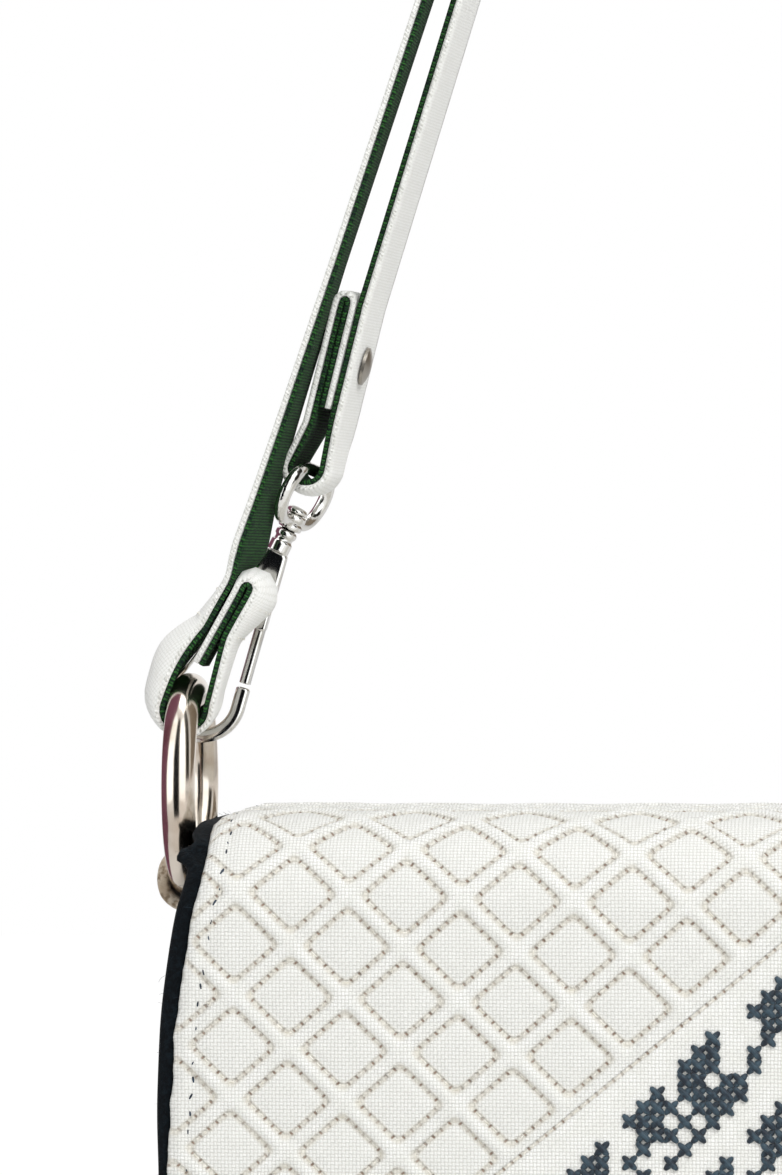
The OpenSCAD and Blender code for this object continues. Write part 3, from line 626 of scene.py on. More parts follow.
def metal_finish(name, tint, dull, roughness, scale=140.0):
    """Plated metal: faint clouding and hairline scratches in an even polish."""
    finish = Finish(name, Metallic=1.0)
    cloud, scratch = finish.noise(scale, 3), finish.noise(scale * 6, 2, stretch=(1.0, 1.0, 0.15))
    finish.set(Base_Color=finish.blend(cloud.fade(0.45, 0.75), tint, dull),
        Roughness=cloud * 0.06 + scratch * 0.05 + roughness)
    finish.relief(scratch * 0.5 + cloud * 0.5, 0.012, 0.5)
    return finish


rivet_finish = metal_finish("rivet_metal", colour(160, 154, 145), colour(106, 98, 88), 0.3)
for node in ("rivet_cap", "rivet_post"):
    wear(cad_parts[node], rivet_finish)

# Swivel snap hook
# Cast zinc, polished and nickel plated: an oval eye with a boss, a headed post that turns in the boss, a
# pear-shaped body with a collar, and a sprung gate on a pin.
HOOK_TILT = math.radians(27.0173)
# Eye and post, collar and pear, then the gate: where it starts and ends, half its width, its open tip
EYE_R, EYE_HALF = 4.7, 3.9
POST_R, POST_HEAD_R, BOSS_R, BOSS_H = 1.2, 1.8, 2.1, 2.8
COLLAR_R, PEAR_TOP, PEAR_LEN, BEND_R, BAR = 1.9, -15.0, 27.919, 5.0, 2.4
PEAR_ANGLE, GATE_FROM, GATE_TO, GATE_HALF, TIP_GAP = 10.0, 8.8, 22.8, 1.85, 0.45
GATE_THICK, CHEEK_THICK, CAST_VOXEL, GATE_VOXEL = 0.95, 0.3, 0.16, 0.13


def in_hook(points):
    """From the hook's own axes, with its eye's upper wire at zero, to the model's."""
    p = np.asarray(points, float)
    c, s = math.cos(HOOK_TILT), math.sin(HOOK_TILT)
    return np.stack([p[..., 0] * c + p[..., 2] * s + EYE_X, p[..., 1] + HOOK_Y,
        p[..., 2] * c - p[..., 0] * s + EYE_Z], -1)


def bar_rings(path, half_in, half_y, power=3.4, around=20):
    """Rounded-square sections along a path in the hook's plane, given as x and z."""
    path = np.asarray(path, float)
    way = np.gradient(path, axis=0)
    way /= np.hypot(*way.T)[:, None]
    side = np.stack([-way[:, 1], way[:, 0]], 1)
    angle = np.arange(around) * 2 * math.pi / around
    c, s = np.cos(angle), np.sin(angle)
    a, b = np.sign(c) * np.abs(c) ** (2 / power), np.sign(s) * np.abs(s) ** (2 / power)
    half_in, half_y = (np.broadcast_to(v, len(path))[:, None] for v in (half_in, half_y))
    x = path[:, :1] + side[:, :1] * a * half_in
    z = path[:, 1:] + side[:, 1:] * a * half_in
    return np.stack([x, b * half_y + x * 0, z], -1)


def turned_rings(profile, around=28):
    """A turned piece on the hook's axis, from pairs of radius and height."""
    angle = np.arange(around) * 2 * math.pi / around
    return np.array([[(r * math.cos(a), r * math.sin(a), h) for a in angle] for r, h in profile])


def fused(name, shells, voxel, smooth_steps):
    """Several closed shells made one casting, with soft inner corners."""
    points, faces = [], []
    for rings, closed in shells:
        first = sum(len(p) for p in points)
        own = skin_faces(*rings.shape[:2], closed, first)
        flat = rings.reshape(-1, 3)
        probe = lofted("probe", rings, closed=closed)
        if probe.data.polygons[0].vertices[1] != own[0][1] - first:
            own = [f[::-1] for f in own]
        bpy.data.objects.remove(probe)
        points.append(flat)
        faces += own
    piece = new_piece(name, np.vstack(points), faces)
    remesh = piece.modifiers.new("fuse", "REMESH")
    remesh.mode, remesh.voxel_size, remesh.use_smooth_shade = "VOXEL", voxel * MM, True
    soften = piece.modifiers.new("soften", "SMOOTH")
    soften.factor, soften.iterations = 0.5, smooth_steps
    graph = bpy.context.evaluated_depsgraph_get()
    mesh = bpy.data.meshes.new_from_object(piece.evaluated_get(graph), depsgraph=graph)
    piece.modifiers.clear()
    piece.data = mesh
    return piece


nickel_finish = metal_finish("hook_nickel", colour(222, 220, 216), colour(188, 184, 176), 0.07)
EYE_TWIST = math.radians(16)
quarter = np.linspace(0, math.pi, 17)
oval = np.vstack([np.stack([EYE_HALF + EYE_R * np.sin(quarter), EYE_R * np.cos(quarter) - EYE_R], 1),
    np.stack([-EYE_HALF - EYE_R * np.sin(quarter), -EYE_R * np.cos(quarter) - EYE_R], 1)])
oval_way = np.roll(oval, -1, 0) - np.roll(oval, 1, 0)
oval_out = np.stack([oval_way[:, 1], -oval_way[:, 0]], 1) / np.hypot(*oval_way.T)[:, None]
wire_turn = np.arange(14) * 2 * math.pi / 14
eye_rings = np.stack([np.stack([EYE_WIRE_R * math.sin(a) + oval[:, 0] * 0,
    oval[:, 0] + oval_out[:, 0] * EYE_WIRE_R * math.cos(a),
    oval[:, 1] + oval_out[:, 1] * EYE_WIRE_R * math.cos(a)], -1) for a in wire_turn], 1)
turned_y, turned_x = eye_rings[..., 1] * math.cos(EYE_TWIST), eye_rings[..., 1] * math.sin(EYE_TWIST)
eye_rings = np.stack([eye_rings[..., 0] + turned_x, turned_y, eye_rings[..., 2]], -1)
boss_low = -2 * EYE_R - BOSS_H / 2
boss = turned_rings([(POST_R + 0.05, boss_low), (BOSS_R - 0.25, boss_low), (BOSS_R, boss_low + 0.25),
    (BOSS_R, boss_low + 1.0), (BOSS_R - 0.3, boss_low + 1.2), (BOSS_R - 0.3, boss_low + 1.6),
    (BOSS_R, boss_low + 1.8), (BOSS_R, boss_low + BOSS_H - 0.25), (BOSS_R - 0.25, boss_low + BOSS_H),
    (POST_R + 0.05, boss_low + BOSS_H)])
eye_piece = wear(fused("hook_eye_cast", [(in_hook(eye_rings), True), (in_hook(boss), True)], CAST_VOXEL, 3),
    nickel_finish)
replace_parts(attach(eye_piece, "strap"), "hook_eye")

head_z = BOSS_H / 2 - 2 * EYE_R + 0.1
post = wear(lofted("swivel_head", in_hook(turned_rings([(0.02, PEAR_TOP + 0.4), (POST_R, PEAR_TOP + 0.5),
    (POST_R, head_z - 0.02), (POST_HEAD_R - 0.2, head_z), (POST_HEAD_R, head_z + 0.25),
    (POST_HEAD_R, head_z + 0.6), (POST_HEAD_R * 0.84, head_z + 0.95), (POST_HEAD_R * 0.5, head_z + 1.15),
    (0.02, head_z + 1.2)]))), nickel_finish)
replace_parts(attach(post, "hook"), "swivel_post")

bend_mid = BEND_R + BAR / 2
slope = math.radians(PEAR_ANGLE)
bar_half = BAR / 2
foot = np.array([bend_mid * math.cos(slope), bend_mid * math.sin(slope) - PEAR_LEN])
shoulder = np.array([COLLAR_R - bar_half * 0.8, -0.4])
arm = lambda z: shoulder + (foot - shoulder) * ((shoulder[1] - z) / (shoulder[1] - foot[1]))
bend_path = polar((0, -PEAR_LEN), bend_mid, PEAR_ANGLE, -180 - PEAR_ANGLE, 40)
nose = straight(arm(-GATE_TO - 0.2), foot, 14)
spine = straight((-foot[0], foot[1]), (-shoulder[0], shoulder[1]), 24)
body_path = np.vstack([nose, bend_path[1:], spine[1:]])
body_path[:, 1] += PEAR_TOP
nose_half = np.full(len(body_path), bar_half)
nose_half[0] = bar_half * 0.75
upper_path = straight(shoulder, arm(-GATE_FROM), 12) + [0, PEAR_TOP]
web_path = straight((0, 0.3), (0, -5.6), 8) + [0, PEAR_TOP]
web_half = np.linspace(COLLAR_R - 0.1, 2.5, 9)
collar = turned_rings([(POST_R, 4.0), (COLLAR_R - 0.35, 4.0), (COLLAR_R, 3.65), (COLLAR_R, 2.9),
    (COLLAR_R - 0.35, 2.6), (COLLAR_R - 0.35, 2.1), (COLLAR_R, 1.8), (COLLAR_R, 0.0), (POST_R, 0.0)])
collar[..., 2] += PEAR_TOP
hook_cast = wear(fused("hook_cast", [(in_hook(bar_rings(body_path, nose_half, nose_half)), False),
    (in_hook(bar_rings(upper_path, bar_half, bar_half)), False),
    (in_hook(bar_rings(web_path, web_half, bar_half)), False),
    (in_hook(collar), True)], CAST_VOXEL, 3), nickel_finish)
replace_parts(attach(hook_cast, "hook"), "hook_body")

gate_path = straight(arm(-GATE_FROM - 1.25), arm(-GATE_TO + TIP_GAP), 12) + [0, PEAR_TOP]
cheek_path = straight(arm(-GATE_FROM + 0.95), arm(-GATE_FROM - 4.2), 8) + [0, PEAR_TOP]
cheeks = [in_hook(bar_rings(cheek_path, GATE_THICK, CHEEK_THICK, 4)
    + np.array([0, side * (GATE_HALF - CHEEK_THICK), 0])) for side in (-1, 1)]
gate_lever = wear(fused("gate_lever", [(in_hook(bar_rings(gate_path, GATE_THICK, GATE_HALF - 0.15)), False)]
    + [(cheek, False) for cheek in cheeks], GATE_VOXEL, 2), nickel_finish)
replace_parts(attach(gate_lever, "gate"), "gate")
wear(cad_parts["gate_pin"], nickel_finish)

# Side rings
# Two round rings of thick brass wire, welded and plated in warm champagne nickel.
ring_finish = metal_finish("ring_nickel", colour(214, 204, 192), colour(186, 170, 154), 0.10)
for side, name in ((-1, "left"), (1, "right")):
    around, section = np.arange(120) * 2 * math.pi / 120, np.arange(36) * 2 * math.pi / 36
    reach = RING_R + WIRE_R * np.cos(section)[None, :]
    rings = np.stack([side * RING_X + WIRE_R * np.sin(section)[None, :] + around[:, None] * 0,
        reach * np.sin(around)[:, None], reach * np.cos(around)[:, None] + RING_Z], -1)
    round_ring = wear(lofted("round_ring_" + name, rings, closed=True), ring_finish)
    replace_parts(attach(round_ring, "ring_" + name), "ring_" + name)

# Side tabs
# A folded strip of nubby natural linen loops round each ring's lower wire. Its two ends are sewn flat
# on the gusset.
TAB_W, TAB_T, TAB_LOW, TAB_HOLE, TAB_SEAT = 10.0, 2.1, 47.1, 3.1, 121.651
TAB_SEAM_Y, TAB_SEAM_FROM, TAB_SEAM_TO, TAB_SEAM_PITCH, TAB_STITCH = 3.6, 2.0, 22.0, 2.4, (1.7, 0.5, 0.4)
tab_finish = Finish("tab_linen", Sheen_Weight=0.3, Roughness=0.95, Specular_IOR_Level=0.2)
tab_grain = tab_finish.noise(1300.0, 3)
tab_patch = tab_finish.noise(260.0, 2)
tab_finish.set(Base_Color=tab_finish.blend(tab_grain.fade(0.32, 0.6), colour(142, 124, 102),
    tab_finish.blend(tab_patch.fade(0.4, 0.6), colour(214, 202, 184), colour(190, 172, 150))))
tab_finish.relief(tab_grain + tab_patch * 0.5, 0.35, 0.9)
for side, name in ((-1, "left"), (1, "right")):
    loop_r = TAB_HOLE + TAB_T / 2
    climb = BORE_R - math.sqrt(BORE_R ** 2 - (TAB_W / 2) ** 2)
    low = -RING_R
    over = polar((0, climb + low), loop_r, 180, 0, 18)
    under = polar((0, low), loop_r, 0, -90, 12)
    seat = TAB_SEAT + TAB_T / 2 - RING_X
    run = np.vstack([straight((seat, -TAB_LOW), (seat, low - 2), 24), over, under[:6]])
    inner_x = seat + TAB_T
    tail = np.vstack([polar((0, low), loop_r, -15, -100, 14),
        straight((inner_x - 0.3, low - 7), (inner_x, -TAB_LOW), 20)])
    path = np.vstack([run, tail[1:]])
    for _ in range(4):
        path[1:-1] = (path[:-2] + 2 * path[1:-1] + path[2:]) / 4
    rings = bar_rings(path, TAB_T / 2, TAB_W / 2, 5, 28)
    rings[..., 1] *= 1 + 0.015 * np.sin(rings[..., 2] * 1.9)
    rings = np.stack([side * (RING_X + rings[..., 0]), rings[..., 1], rings[..., 2] + RING_Z], -1)
    tab = wear(lofted("tab_" + name + "_linen", rings), tab_finish)
    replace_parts(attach(tab, "bag"), "tab_" + name)
    z_rows = np.arange(-TAB_LOW + TAB_SEAM_FROM, -TAB_LOW + TAB_SEAM_TO, TAB_SEAM_PITCH)
    at = [(side * (RING_X + inner_x + TAB_T / 2 - 0.05), y, z + RING_Z)
        for y in (-TAB_SEAM_Y, TAB_SEAM_Y) for z in z_rows]
    along = np.tile([0, 0, 1.0], (len(at), 1))
    tab_sewing = sewn("tab_" + name + "_sewing", at, along, np.tile([side, 0, 0], (len(at), 1)),
        TAB_STITCH, thread_finish, 0.1, 7, ROUND_THREAD)
    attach(tab_sewing, "bag")

# Felt body
# Two panels, two folded gussets and a base, cut from thick navy wool felt and whipped together along
# their raw edges. The felt is fuzzy, a little uneven in tone, and gives slightly between its seams.
BAG_W, TOP_W, BAG_H, BELLY_DROP, LOWER_DRAW, CORNER_R = 256.0, 241.0, 184.0, 50.0, 4.0, 42.0
PANEL_Y, FELT_T, SIDE_PINCH, MOUTH_DROP, FRONT_DROP = 28.0, 2.2, 9.0, 12.0, 34.0
HANG_Y, BAG_Z, FOLD_R = 6.2, -321.5, 17.0
BACK_SWELL, WHIP_PITCH, WHIP_SIZE = 3.2, 3.4, (3.5, 0.7, 0.6)
GUSSET_Y = PANEL_Y - FELT_T


def side_x(d, height=BAG_H, corner=CORNER_R):
    """Half the bag's width at drops below its top edge."""
    rise = np.maximum(0, BELLY_DROP - d) / BELLY_DROP
    fall = np.clip((d - BELLY_DROP) / (height - corner - BELLY_DROP), 0, 1)
    return BAG_W / 2 - (BAG_W - TOP_W) / 2 * rise ** 2 - LOWER_DRAW * fall ** 2


def outline_rows(first, height, corner, straight_rows, corner_rows):
    """Drops and half widths of an outline's rows, from its top edge round its lower corners."""
    d = np.linspace(first, height - corner, straight_rows + 1)
    angle = np.linspace(0, math.pi / 2, corner_rows + 1)[1:]
    width = side_x(height - corner, height, corner) - corner
    return (np.concatenate([d, height - corner + corner * np.sin(angle)]),
        np.concatenate([side_x(d, height, corner), width + corner * np.cos(angle)]))


def drift(x, y, size, seed):
    """A gentle uneven swell between -1 and 1, from a few slanting waves."""
    wave = np.random.default_rng(seed).uniform(-1, 1, (5, 3))
    total = sum(np.sin((x * math.cos(3 * a) + y * math.sin(3 * a)) / size * (1.6 + b) + 9 * c)
        for a, b, c in wave)
    return total / 5


def slab(name, outer, inner, push, cloth, step=1):
    """A sheet with a rounded rim, from two grids of points. The inner grid may be step times coarser."""
    rows, cols = outer.shape[:2]
    border = [(0, j) for j in range(cols)] + [(i, cols - 1) for i in range(1, rows)] + [
        (rows - 1, j) for j in range(cols - 2, -1, -1)] + [(i, 0) for i in range(rows - 2, 0, -1)]
    i, j = np.array(border).T
    coarse = inner[::step, ::step]
    edge_in = np.stack([np.interp(np.arange(len(border)), np.arange(0, len(border) + 1, step),
        np.append(inner[i[::step], j[::step], k], inner[0, 0, k])) for k in range(3)], 1)
    rim = (outer[i, j] + edge_in) / 2 + push[i, j]
    rim_at, inner_at = rows * cols, rows * cols + len(border)
    width = coarse.shape[1]
    number = lambda p, q: inner_at + p // step * width + q // step
    index = np.arange(rows * cols).reshape(rows, cols)
    quads = np.stack([index[:-1, :-1], index[1:, :-1], index[1:, 1:], index[:-1, 1:]], -1)
    quads = quads.reshape(-1, 4).tolist()
    back = np.arange(coarse.shape[0] * width).reshape(-1, width) + inner_at
    quads += np.stack([back[:-1, :-1], back[:-1, 1:], back[1:, 1:], back[1:, :-1]], -1).reshape(-1, 4).tolist()
    many = len(border)
    for k in range(many):
        n = (k + 1) % many
        quads.append([int(index[border[k]]), int(index[border[n]]), rim_at + n, rim_at + k])
    for k in range(0, many, step):
        n = (k + step) % many
        fine = [rim_at + (k + m) % many for m in range(step + 1)]
        quads.append(fine + [number(*border[n]), number(*border[k])])
    points = np.vstack([outer.reshape(-1, 3), rim, coarse.reshape(-1, 3)])
    flat = np.vstack([cloth.reshape(-1, 3), cloth[i, j], cloth[::step, ::step].reshape(-1, 3)])
    return face_out(new_piece(name, points, quads, flat))


felt_finish = Finish("navy_felt", Roughness=1.0, Sheen_Weight=0.05, Sheen_Roughness=0.5,
    Specular_IOR_Level=0.1)
felt_grain, felt_patch = felt_finish.noise(1500.0, 4, 0.65), felt_finish.noise(180.0, 3)
felt_finish.set(Base_Color=felt_finish.blend(felt_grain.fade(0.35, 0.7), colour(5, 8, 12),
    felt_finish.blend(felt_patch.fade(0.35, 0.65), colour(10, 17, 22), colour(16, 25, 31))))
felt_finish.relief(felt_grain + felt_patch * 0.6, 0.4, 0.9)
seam_finish = Finish("navy_thread", Roughness=0.8, Sheen_Weight=0.2)
seam_finish.set(Base_Color=seam_finish.blend(seam_finish.noise(1200.0, 2).fade(0.4, 0.6),
    colour(24, 34, 46), colour(44, 58, 74)))


def felt_panel(name, first, at, face, bulge, seed):
    """A flat-cut panel whose outer side faces face (-1 front, 1 back) and swells by bulge below its top."""
    d, half = outline_rows(first, BAG_H, CORNER_R, 64, 26)
    share = np.linspace(-1, 1, 97)
    x, drop = half[:, None] * share, d[:, None] + 0 * share
    swell = (bulge * (1 - share ** 2) ** 0.6
        * np.sin(np.clip((drop - first) / (BAG_H - first), 0, 1) * math.pi) ** 0.8)
    edge = np.minimum((1 - np.abs(share)) * half[:, None], np.minimum(drop - first, BAG_H - drop))
    uneven = 0.35 * drift(x, drop, 26.0, seed) * np.clip(edge / 12, 0, 1)
    near = 0.5 * np.clip(1 - edge / 1.5, 0, 1) ** 2
    grid = lambda y: np.stack([x, y, BAG_Z - drop], -1)
    outer = grid(HANG_Y + face * (at + swell + uneven - near))
    inner = grid(HANG_Y + face * (at - FELT_T + swell + uneven + near))
    push = np.zeros_like(outer)
    push[:, 0, 0], push[:, -1, 0], push[0, :, 2], push[-1, :, 2] = -0.35, 0.35, 0.3, -0.1
    return slab(name, outer, inner, push, np.stack([x, drop, 0 * x], -1))


front_felt = felt_panel("felt_front", FRONT_DROP, PANEL_Y, -1, 0.0, 11)
back_felt = felt_panel("felt_back", FOLD_R, PANEL_Y, 1, BACK_SWELL, 12)
gussets = {}
for side, name in ((-1, "left"), (1, "right")):
    d, half = outline_rows(MOUTH_DROP, BAG_H, CORNER_R, 56, 34)
    lean = np.concatenate([np.zeros(57), np.linspace(0, math.pi / 2, 35)[1:]])[:, None]
    y = np.linspace(-1, 1, 33)[None, :]
    pinch = SIDE_PINCH * np.cos(
        math.pi / 2 * np.clip(d - MOUTH_DROP, 0, None) / (BAG_H - MOUTH_DROP))[:, None] ** 2
    crease = 0.5 * drift(d[:, None] * 1.0, y * 22, 15.0, 13 + side) * (1 - y ** 2)

    def gusset_grid(depth):
        inward = depth + pinch * (1 - np.abs(y) ** 1.7) + crease
        return np.stack([side * (half[:, None] - inward * np.cos(lean)), HANG_Y + GUSSET_Y * y + 0 * inward,
            BAG_Z - d[:, None] + inward * np.sin(lean)], -1)

    outer, inner = gusset_grid(0.0), gusset_grid(FELT_T)
    push = np.zeros_like(outer)
    push[0, :, 2] = 0.4
    piece = slab("felt_gusset_" + name, outer, inner, push,
        np.stack([y * GUSSET_Y + 0 * half[:, None], d[:, None] + 0 * y,
        0 * half[:, None] + 0 * y], -1))
    gussets[name] = piece
    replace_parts(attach(wear(piece, felt_finish), "bag"), "gusset_" + name)
base_half = float(side_x(BAG_H - CORNER_R)) - CORNER_R
base_x, base_y = np.meshgrid(np.linspace(-base_half, base_half, 83), np.linspace(-GUSSET_Y, GUSSET_Y, 29),
    indexing="ij")
base_wave = 0.15 * drift(base_x, base_y, 18.0, 17)
base_out = np.stack([base_x, base_y + HANG_Y, BAG_Z - BAG_H + 0.15 + base_wave * 0.9], -1)
base_in = np.stack([base_x, base_y + HANG_Y, BAG_Z - BAG_H + FELT_T + base_wave * 0], -1)
base_felt = slab("felt_base", base_out, base_in, np.zeros_like(base_out),
    np.stack([base_x, base_y, 0 * base_x], -1))
for piece, node in ((front_felt, "front_panel"), (back_felt, "back_panel"), (base_felt, "bottom_panel")):
    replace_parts(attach(wear(piece, felt_finish), "bag"), node)

# The panels are whipped to the gussets and the base with heavy navy thread
whip_at, whip_along, whip_out = [], [], []
for face, first in ((-1, FRONT_DROP), (1, FOLD_R + 2)):
    d, half = outline_rows(first, BAG_H, CORNER_R, 200, 120)
    edge = np.vstack([np.stack([-half, d], 1), np.stack([half[::-1], d[::-1]], 1)])
    length = np.concatenate([[0], np.cumsum(np.hypot(*np.diff(edge, axis=0).T))])
    spots = np.arange(2, length[-1] - 2, WHIP_PITCH)
    ex, ed = (np.interp(spots, length, edge[:, k]) for k in (0, 1))
    nx, nd = (np.interp(spots + 0.5, length, edge[:, k]) - np.interp(spots - 0.5, length, edge[:, k])
        for k in (0, 1))
    tangent = np.stack([nx, 0 * nx, -nd], 1)
    outward = np.cross(tangent, [0, 1, 0])
    outward *= np.sign((outward * np.stack([ex, 0 * ex, 90 - ed], 1)).sum(1))[:, None]
    at = np.stack([ex, 0 * ex + HANG_Y + face * (PANEL_Y - FELT_T * 0.55), BAG_Z - ed], 1) + outward * 0.2
    whip_at.append(at)
    whip_along.append(np.tile([0, 1.0, 0], (len(at), 1)) + tangent * 0.45)
    whip_out.append(outward)
whipping = sewn("felt_whipping", np.vstack(whip_at), np.vstack(whip_along), np.vstack(whip_out),
    WHIP_SIZE, seam_finish, 0.1, 9, ROUND_THREAD)
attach(whipping, "bag")


def fibre_tree():
    """Geometry Nodes that scatter short bent wool fibres over a felt piece."""
    tree = bpy.data.node_groups.new("fibres", "GeometryNodeTree")
    tree.interface.new_socket("Geometry", in_out="INPUT", socket_type="NodeSocketGeometry")
    for name in ("Density", "Length", "Thickness"):
        tree.interface.new_socket(name, in_out="INPUT", socket_type="NodeSocketFloat")
    tree.interface.new_socket("Seed", in_out="INPUT", socket_type="NodeSocketInt")
    tree.interface.new_socket("Wool", in_out="INPUT", socket_type="NodeSocketMaterial")
    tree.interface.new_socket("Geometry", in_out="OUTPUT", socket_type="NodeSocketGeometry")
    new, link = tree.nodes.new, tree.links.new
    given, result = new("NodeGroupInput"), new("NodeGroupOutput")
    spread, amount = new("GeometryNodeDistributePointsOnFaces"), new("ShaderNodeMath")
    fuzzy = new("GeometryNodeInputNamedAttribute")
    fuzzy.inputs["Name"].default_value = "fuzz"
    amount.operation = "MULTIPLY"
    link(fuzzy.outputs["Attribute"], amount.inputs[0])
    link(given.outputs["Density"], amount.inputs[1])
    link(given.outputs["Geometry"], spread.inputs["Mesh"])
    link(amount.outputs[0], spread.inputs["Density"])
    link(given.outputs["Seed"], spread.inputs["Seed"])
    arc, tube = new("GeometryNodeCurveQuadraticBezier"), new("GeometryNodeCurveToMesh")
    profile = new("GeometryNodeCurvePrimitiveCircle")
    arc.inputs["Resolution"].default_value = 4
    for name, place in (("Start", (0, 0, -0.1)), ("Middle", (0.1, 0, 0.6)), ("End", (0.75, 0.2, 0.75))):
        arc.inputs[name].default_value = place
    profile.inputs["Resolution"].default_value = 3
    link(given.outputs["Thickness"], profile.inputs["Radius"])
    link(arc.outputs[0], tube.inputs[0])
    link(profile.outputs[0], tube.inputs[1])
    tube.inputs["Fill Caps"].default_value = True
    spin, size = new("FunctionNodeRandomValue"), new("FunctionNodeRandomValue")
    fall = new("FunctionNodeRotateRotation")
    spin.data_type, size.data_type = "FLOAT_VECTOR", "FLOAT"
    spin.inputs[0].default_value, spin.inputs[1].default_value = (-0.5, -0.5, -3.15), (0.5, 0.5, 3.15)
    sizes = [s for s in size.inputs if s.type == "VALUE"]
    sizes[0].default_value = 0.4
    sizes[1].default_value = 1.0
    scaled = new("ShaderNodeMath")
    scaled.operation = "MULTIPLY"
    link([s for s in size.outputs if s.type == "VALUE"][0], scaled.inputs[0])
    link(given.outputs["Length"], scaled.inputs[1])
    for node in (spin, size):
        link(given.outputs["Seed"], node.inputs["Seed"])
    fall.rotation_space = "LOCAL"
    link(spread.outputs["Rotation"], fall.inputs[0])
    link([s for s in spin.outputs if s.type == "VECTOR"][0], fall.inputs[1])
    laid = new("GeometryNodeInstanceOnPoints")
    link(spread.outputs["Points"], laid.inputs["Points"])
    link(tube.outputs[0], laid.inputs["Instance"])
    link(fall.outputs[0], laid.inputs["Rotation"])
    link(scaled.outputs[0], laid.inputs["Scale"])
    real, paint = new("GeometryNodeRealizeInstances"), new("GeometryNodeSetMaterial")
    link(laid.outputs[0], real.inputs[0])
    link(real.outputs[0], paint.inputs["Geometry"])
    link(given.outputs["Wool"], paint.inputs["Material"])
    link(paint.outputs[0], result.inputs[0])
    return tree


FIBRES = fibre_tree()
FIBRE_DENSITY, FIBRE_LENGTH, FIBRE_THICKNESS = 9.0e4, 1.8, 0.016
wool_finish = Finish("wool_fibre", Roughness=0.9, Specular_IOR_Level=0.1)
wool_finish.set(Base_Color=wool_finish.blend(wool_finish.noise(300.0, 1).fade(0.35, 0.65),
    colour(10, 16, 24), colour(46, 56, 66)))


def fuzz(piece, name, share, seed):
    """Fibres over piece, as thick as share says at each of its points."""
    layer = piece.data.attributes.new("fuzz", "FLOAT", "POINT")
    layer.data.foreach_set("value", np.asarray(share, np.float32))
    # A fibre is 1 long in the tree, so its thickness is a share of that length
    fibres = grown(piece, FIBRES, name, {"Density": FIBRE_DENSITY, "Length": FIBRE_LENGTH * MM,
        "Thickness": FIBRE_THICKNESS, "Seed": seed, "Wool": wool_finish.material})
    piece.data.attributes.remove(piece.data.attributes["fuzz"])
    return fibres


for piece, name, seed in ((back_felt, "back", 21), (gussets["left"], "left", 22),
        (gussets["right"], "right", 23), (front_felt, "front", 24)):
    place = np.array([v.co for v in piece.data.vertices])
    if name in ("back", "front"):
        edge = (side_x(BAG_Z - place[:, 2] / MM) - np.abs(place[:, 0]) / MM)
        share = 0.12 + 0.88 * (edge < 1.5)
    else:
        share = 0.3 + 0.7 * (np.abs(place[:, 1] / MM - HANG_Y) > GUSSET_Y - 2)
    fibres = fuzz(piece, "felt_fibres_" + name, share, seed)
    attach(fibres, "bag")

# Lining, slip pocket and base board
# Plain cotton in one length: down the front, over the stiff board and up the back, where a slip pocket
# is sewn to it. The board is pressed fibre and stays a rigid piece.
LINING_T, LINING_GAP, BOARD_T = 0.8, 1.0, 1.6
LINING_TURN, COTTON_PITCH = 3.0, 0.55
POCKET_W, POCKET_H, POCKET_GAP, HEM_SIDES, HEM_TOP = 130.0, 95.0, 5.0, 10.0, 5.0
HEM_PITCH, HEM_DOWN, HEM_STITCH = 2.8, 7.0, (2.0, 0.45, 0.5)
LINING_Y = GUSSET_Y - LINING_GAP
cotton_finish = Finish("lining_cotton", Roughness=0.9, Sheen_Weight=0.15, Specular_IOR_Level=0.2)
across, along, _ = cotton_finish.cloth()
cotton_weave = plain_weave(across, along, COTTON_PITCH)
cotton_tone = cotton_finish.noise(220.0, 3)
# The darkest colour is painted shade in the gaps of the weave
cotton_finish.set(Base_Color=cotton_finish.blend(cotton_weave.fade(0.1, 0.8), colour(160, 150, 126),
    cotton_finish.blend(cotton_tone.fade(0.35, 0.65), colour(196, 186, 160), colour(208, 199, 176))))
cotton_finish.relief(cotton_weave + cotton_tone * 0.8, 0.12, 0.8)
floor_d = BAG_H - FELT_T - BOARD_T
turn = LINING_TURN
run = np.vstack([straight((-LINING_Y, FRONT_DROP), (-LINING_Y, floor_d - turn), 60),
    polar((-LINING_Y + turn, floor_d - turn), turn, 180, 90, 6)[1:],
    straight((-LINING_Y + turn, floor_d), (LINING_Y - turn, floor_d), 22)[1:],
    polar((LINING_Y - turn, floor_d - turn), turn, 90, 0, 6)[1:],
    straight((LINING_Y, floor_d - turn), (LINING_Y, MOUTH_DROP + FELT_T), 66)[1:]])
way = np.gradient(run, axis=0)
inward = np.stack([way[:, 1], -way[:, 0]], 1) / np.hypot(*way.T)[:, None]
lining_inset, lining_corner = FELT_T + SIDE_PINCH + SOFT_GAP, CORNER_R + SIDE_PINCH
deep = np.clip(run[:, 1] - (floor_d - lining_corner + lining_inset), 0, lining_corner - lining_inset)
half = side_x(run[:, 1], floor_d + lining_inset, lining_corner) - lining_inset
tight = lining_corner - lining_inset
half = half - tight + np.sqrt(np.maximum(tight ** 2 - deep ** 2, 0))
share = np.linspace(-1, 1, 81)
lx = half[:, None] * share
lrun = np.concatenate([[0], np.cumsum(np.hypot(*np.diff(run, axis=0).T))])[:, None] + 0 * share
wrinkle = np.maximum(0.45 * drift(lx, lrun, 17.0, 31), 0) * np.clip((1 - np.abs(share)) * 8, 0, 1)


def lining_grid(off):
    y = run[:, :1] + inward[:, :1] * (off + wrinkle)
    d = run[:, 1:] + inward[:, 1:] * (off + wrinkle)
    return np.stack([lx, HANG_Y + y, BAG_Z - d], -1)


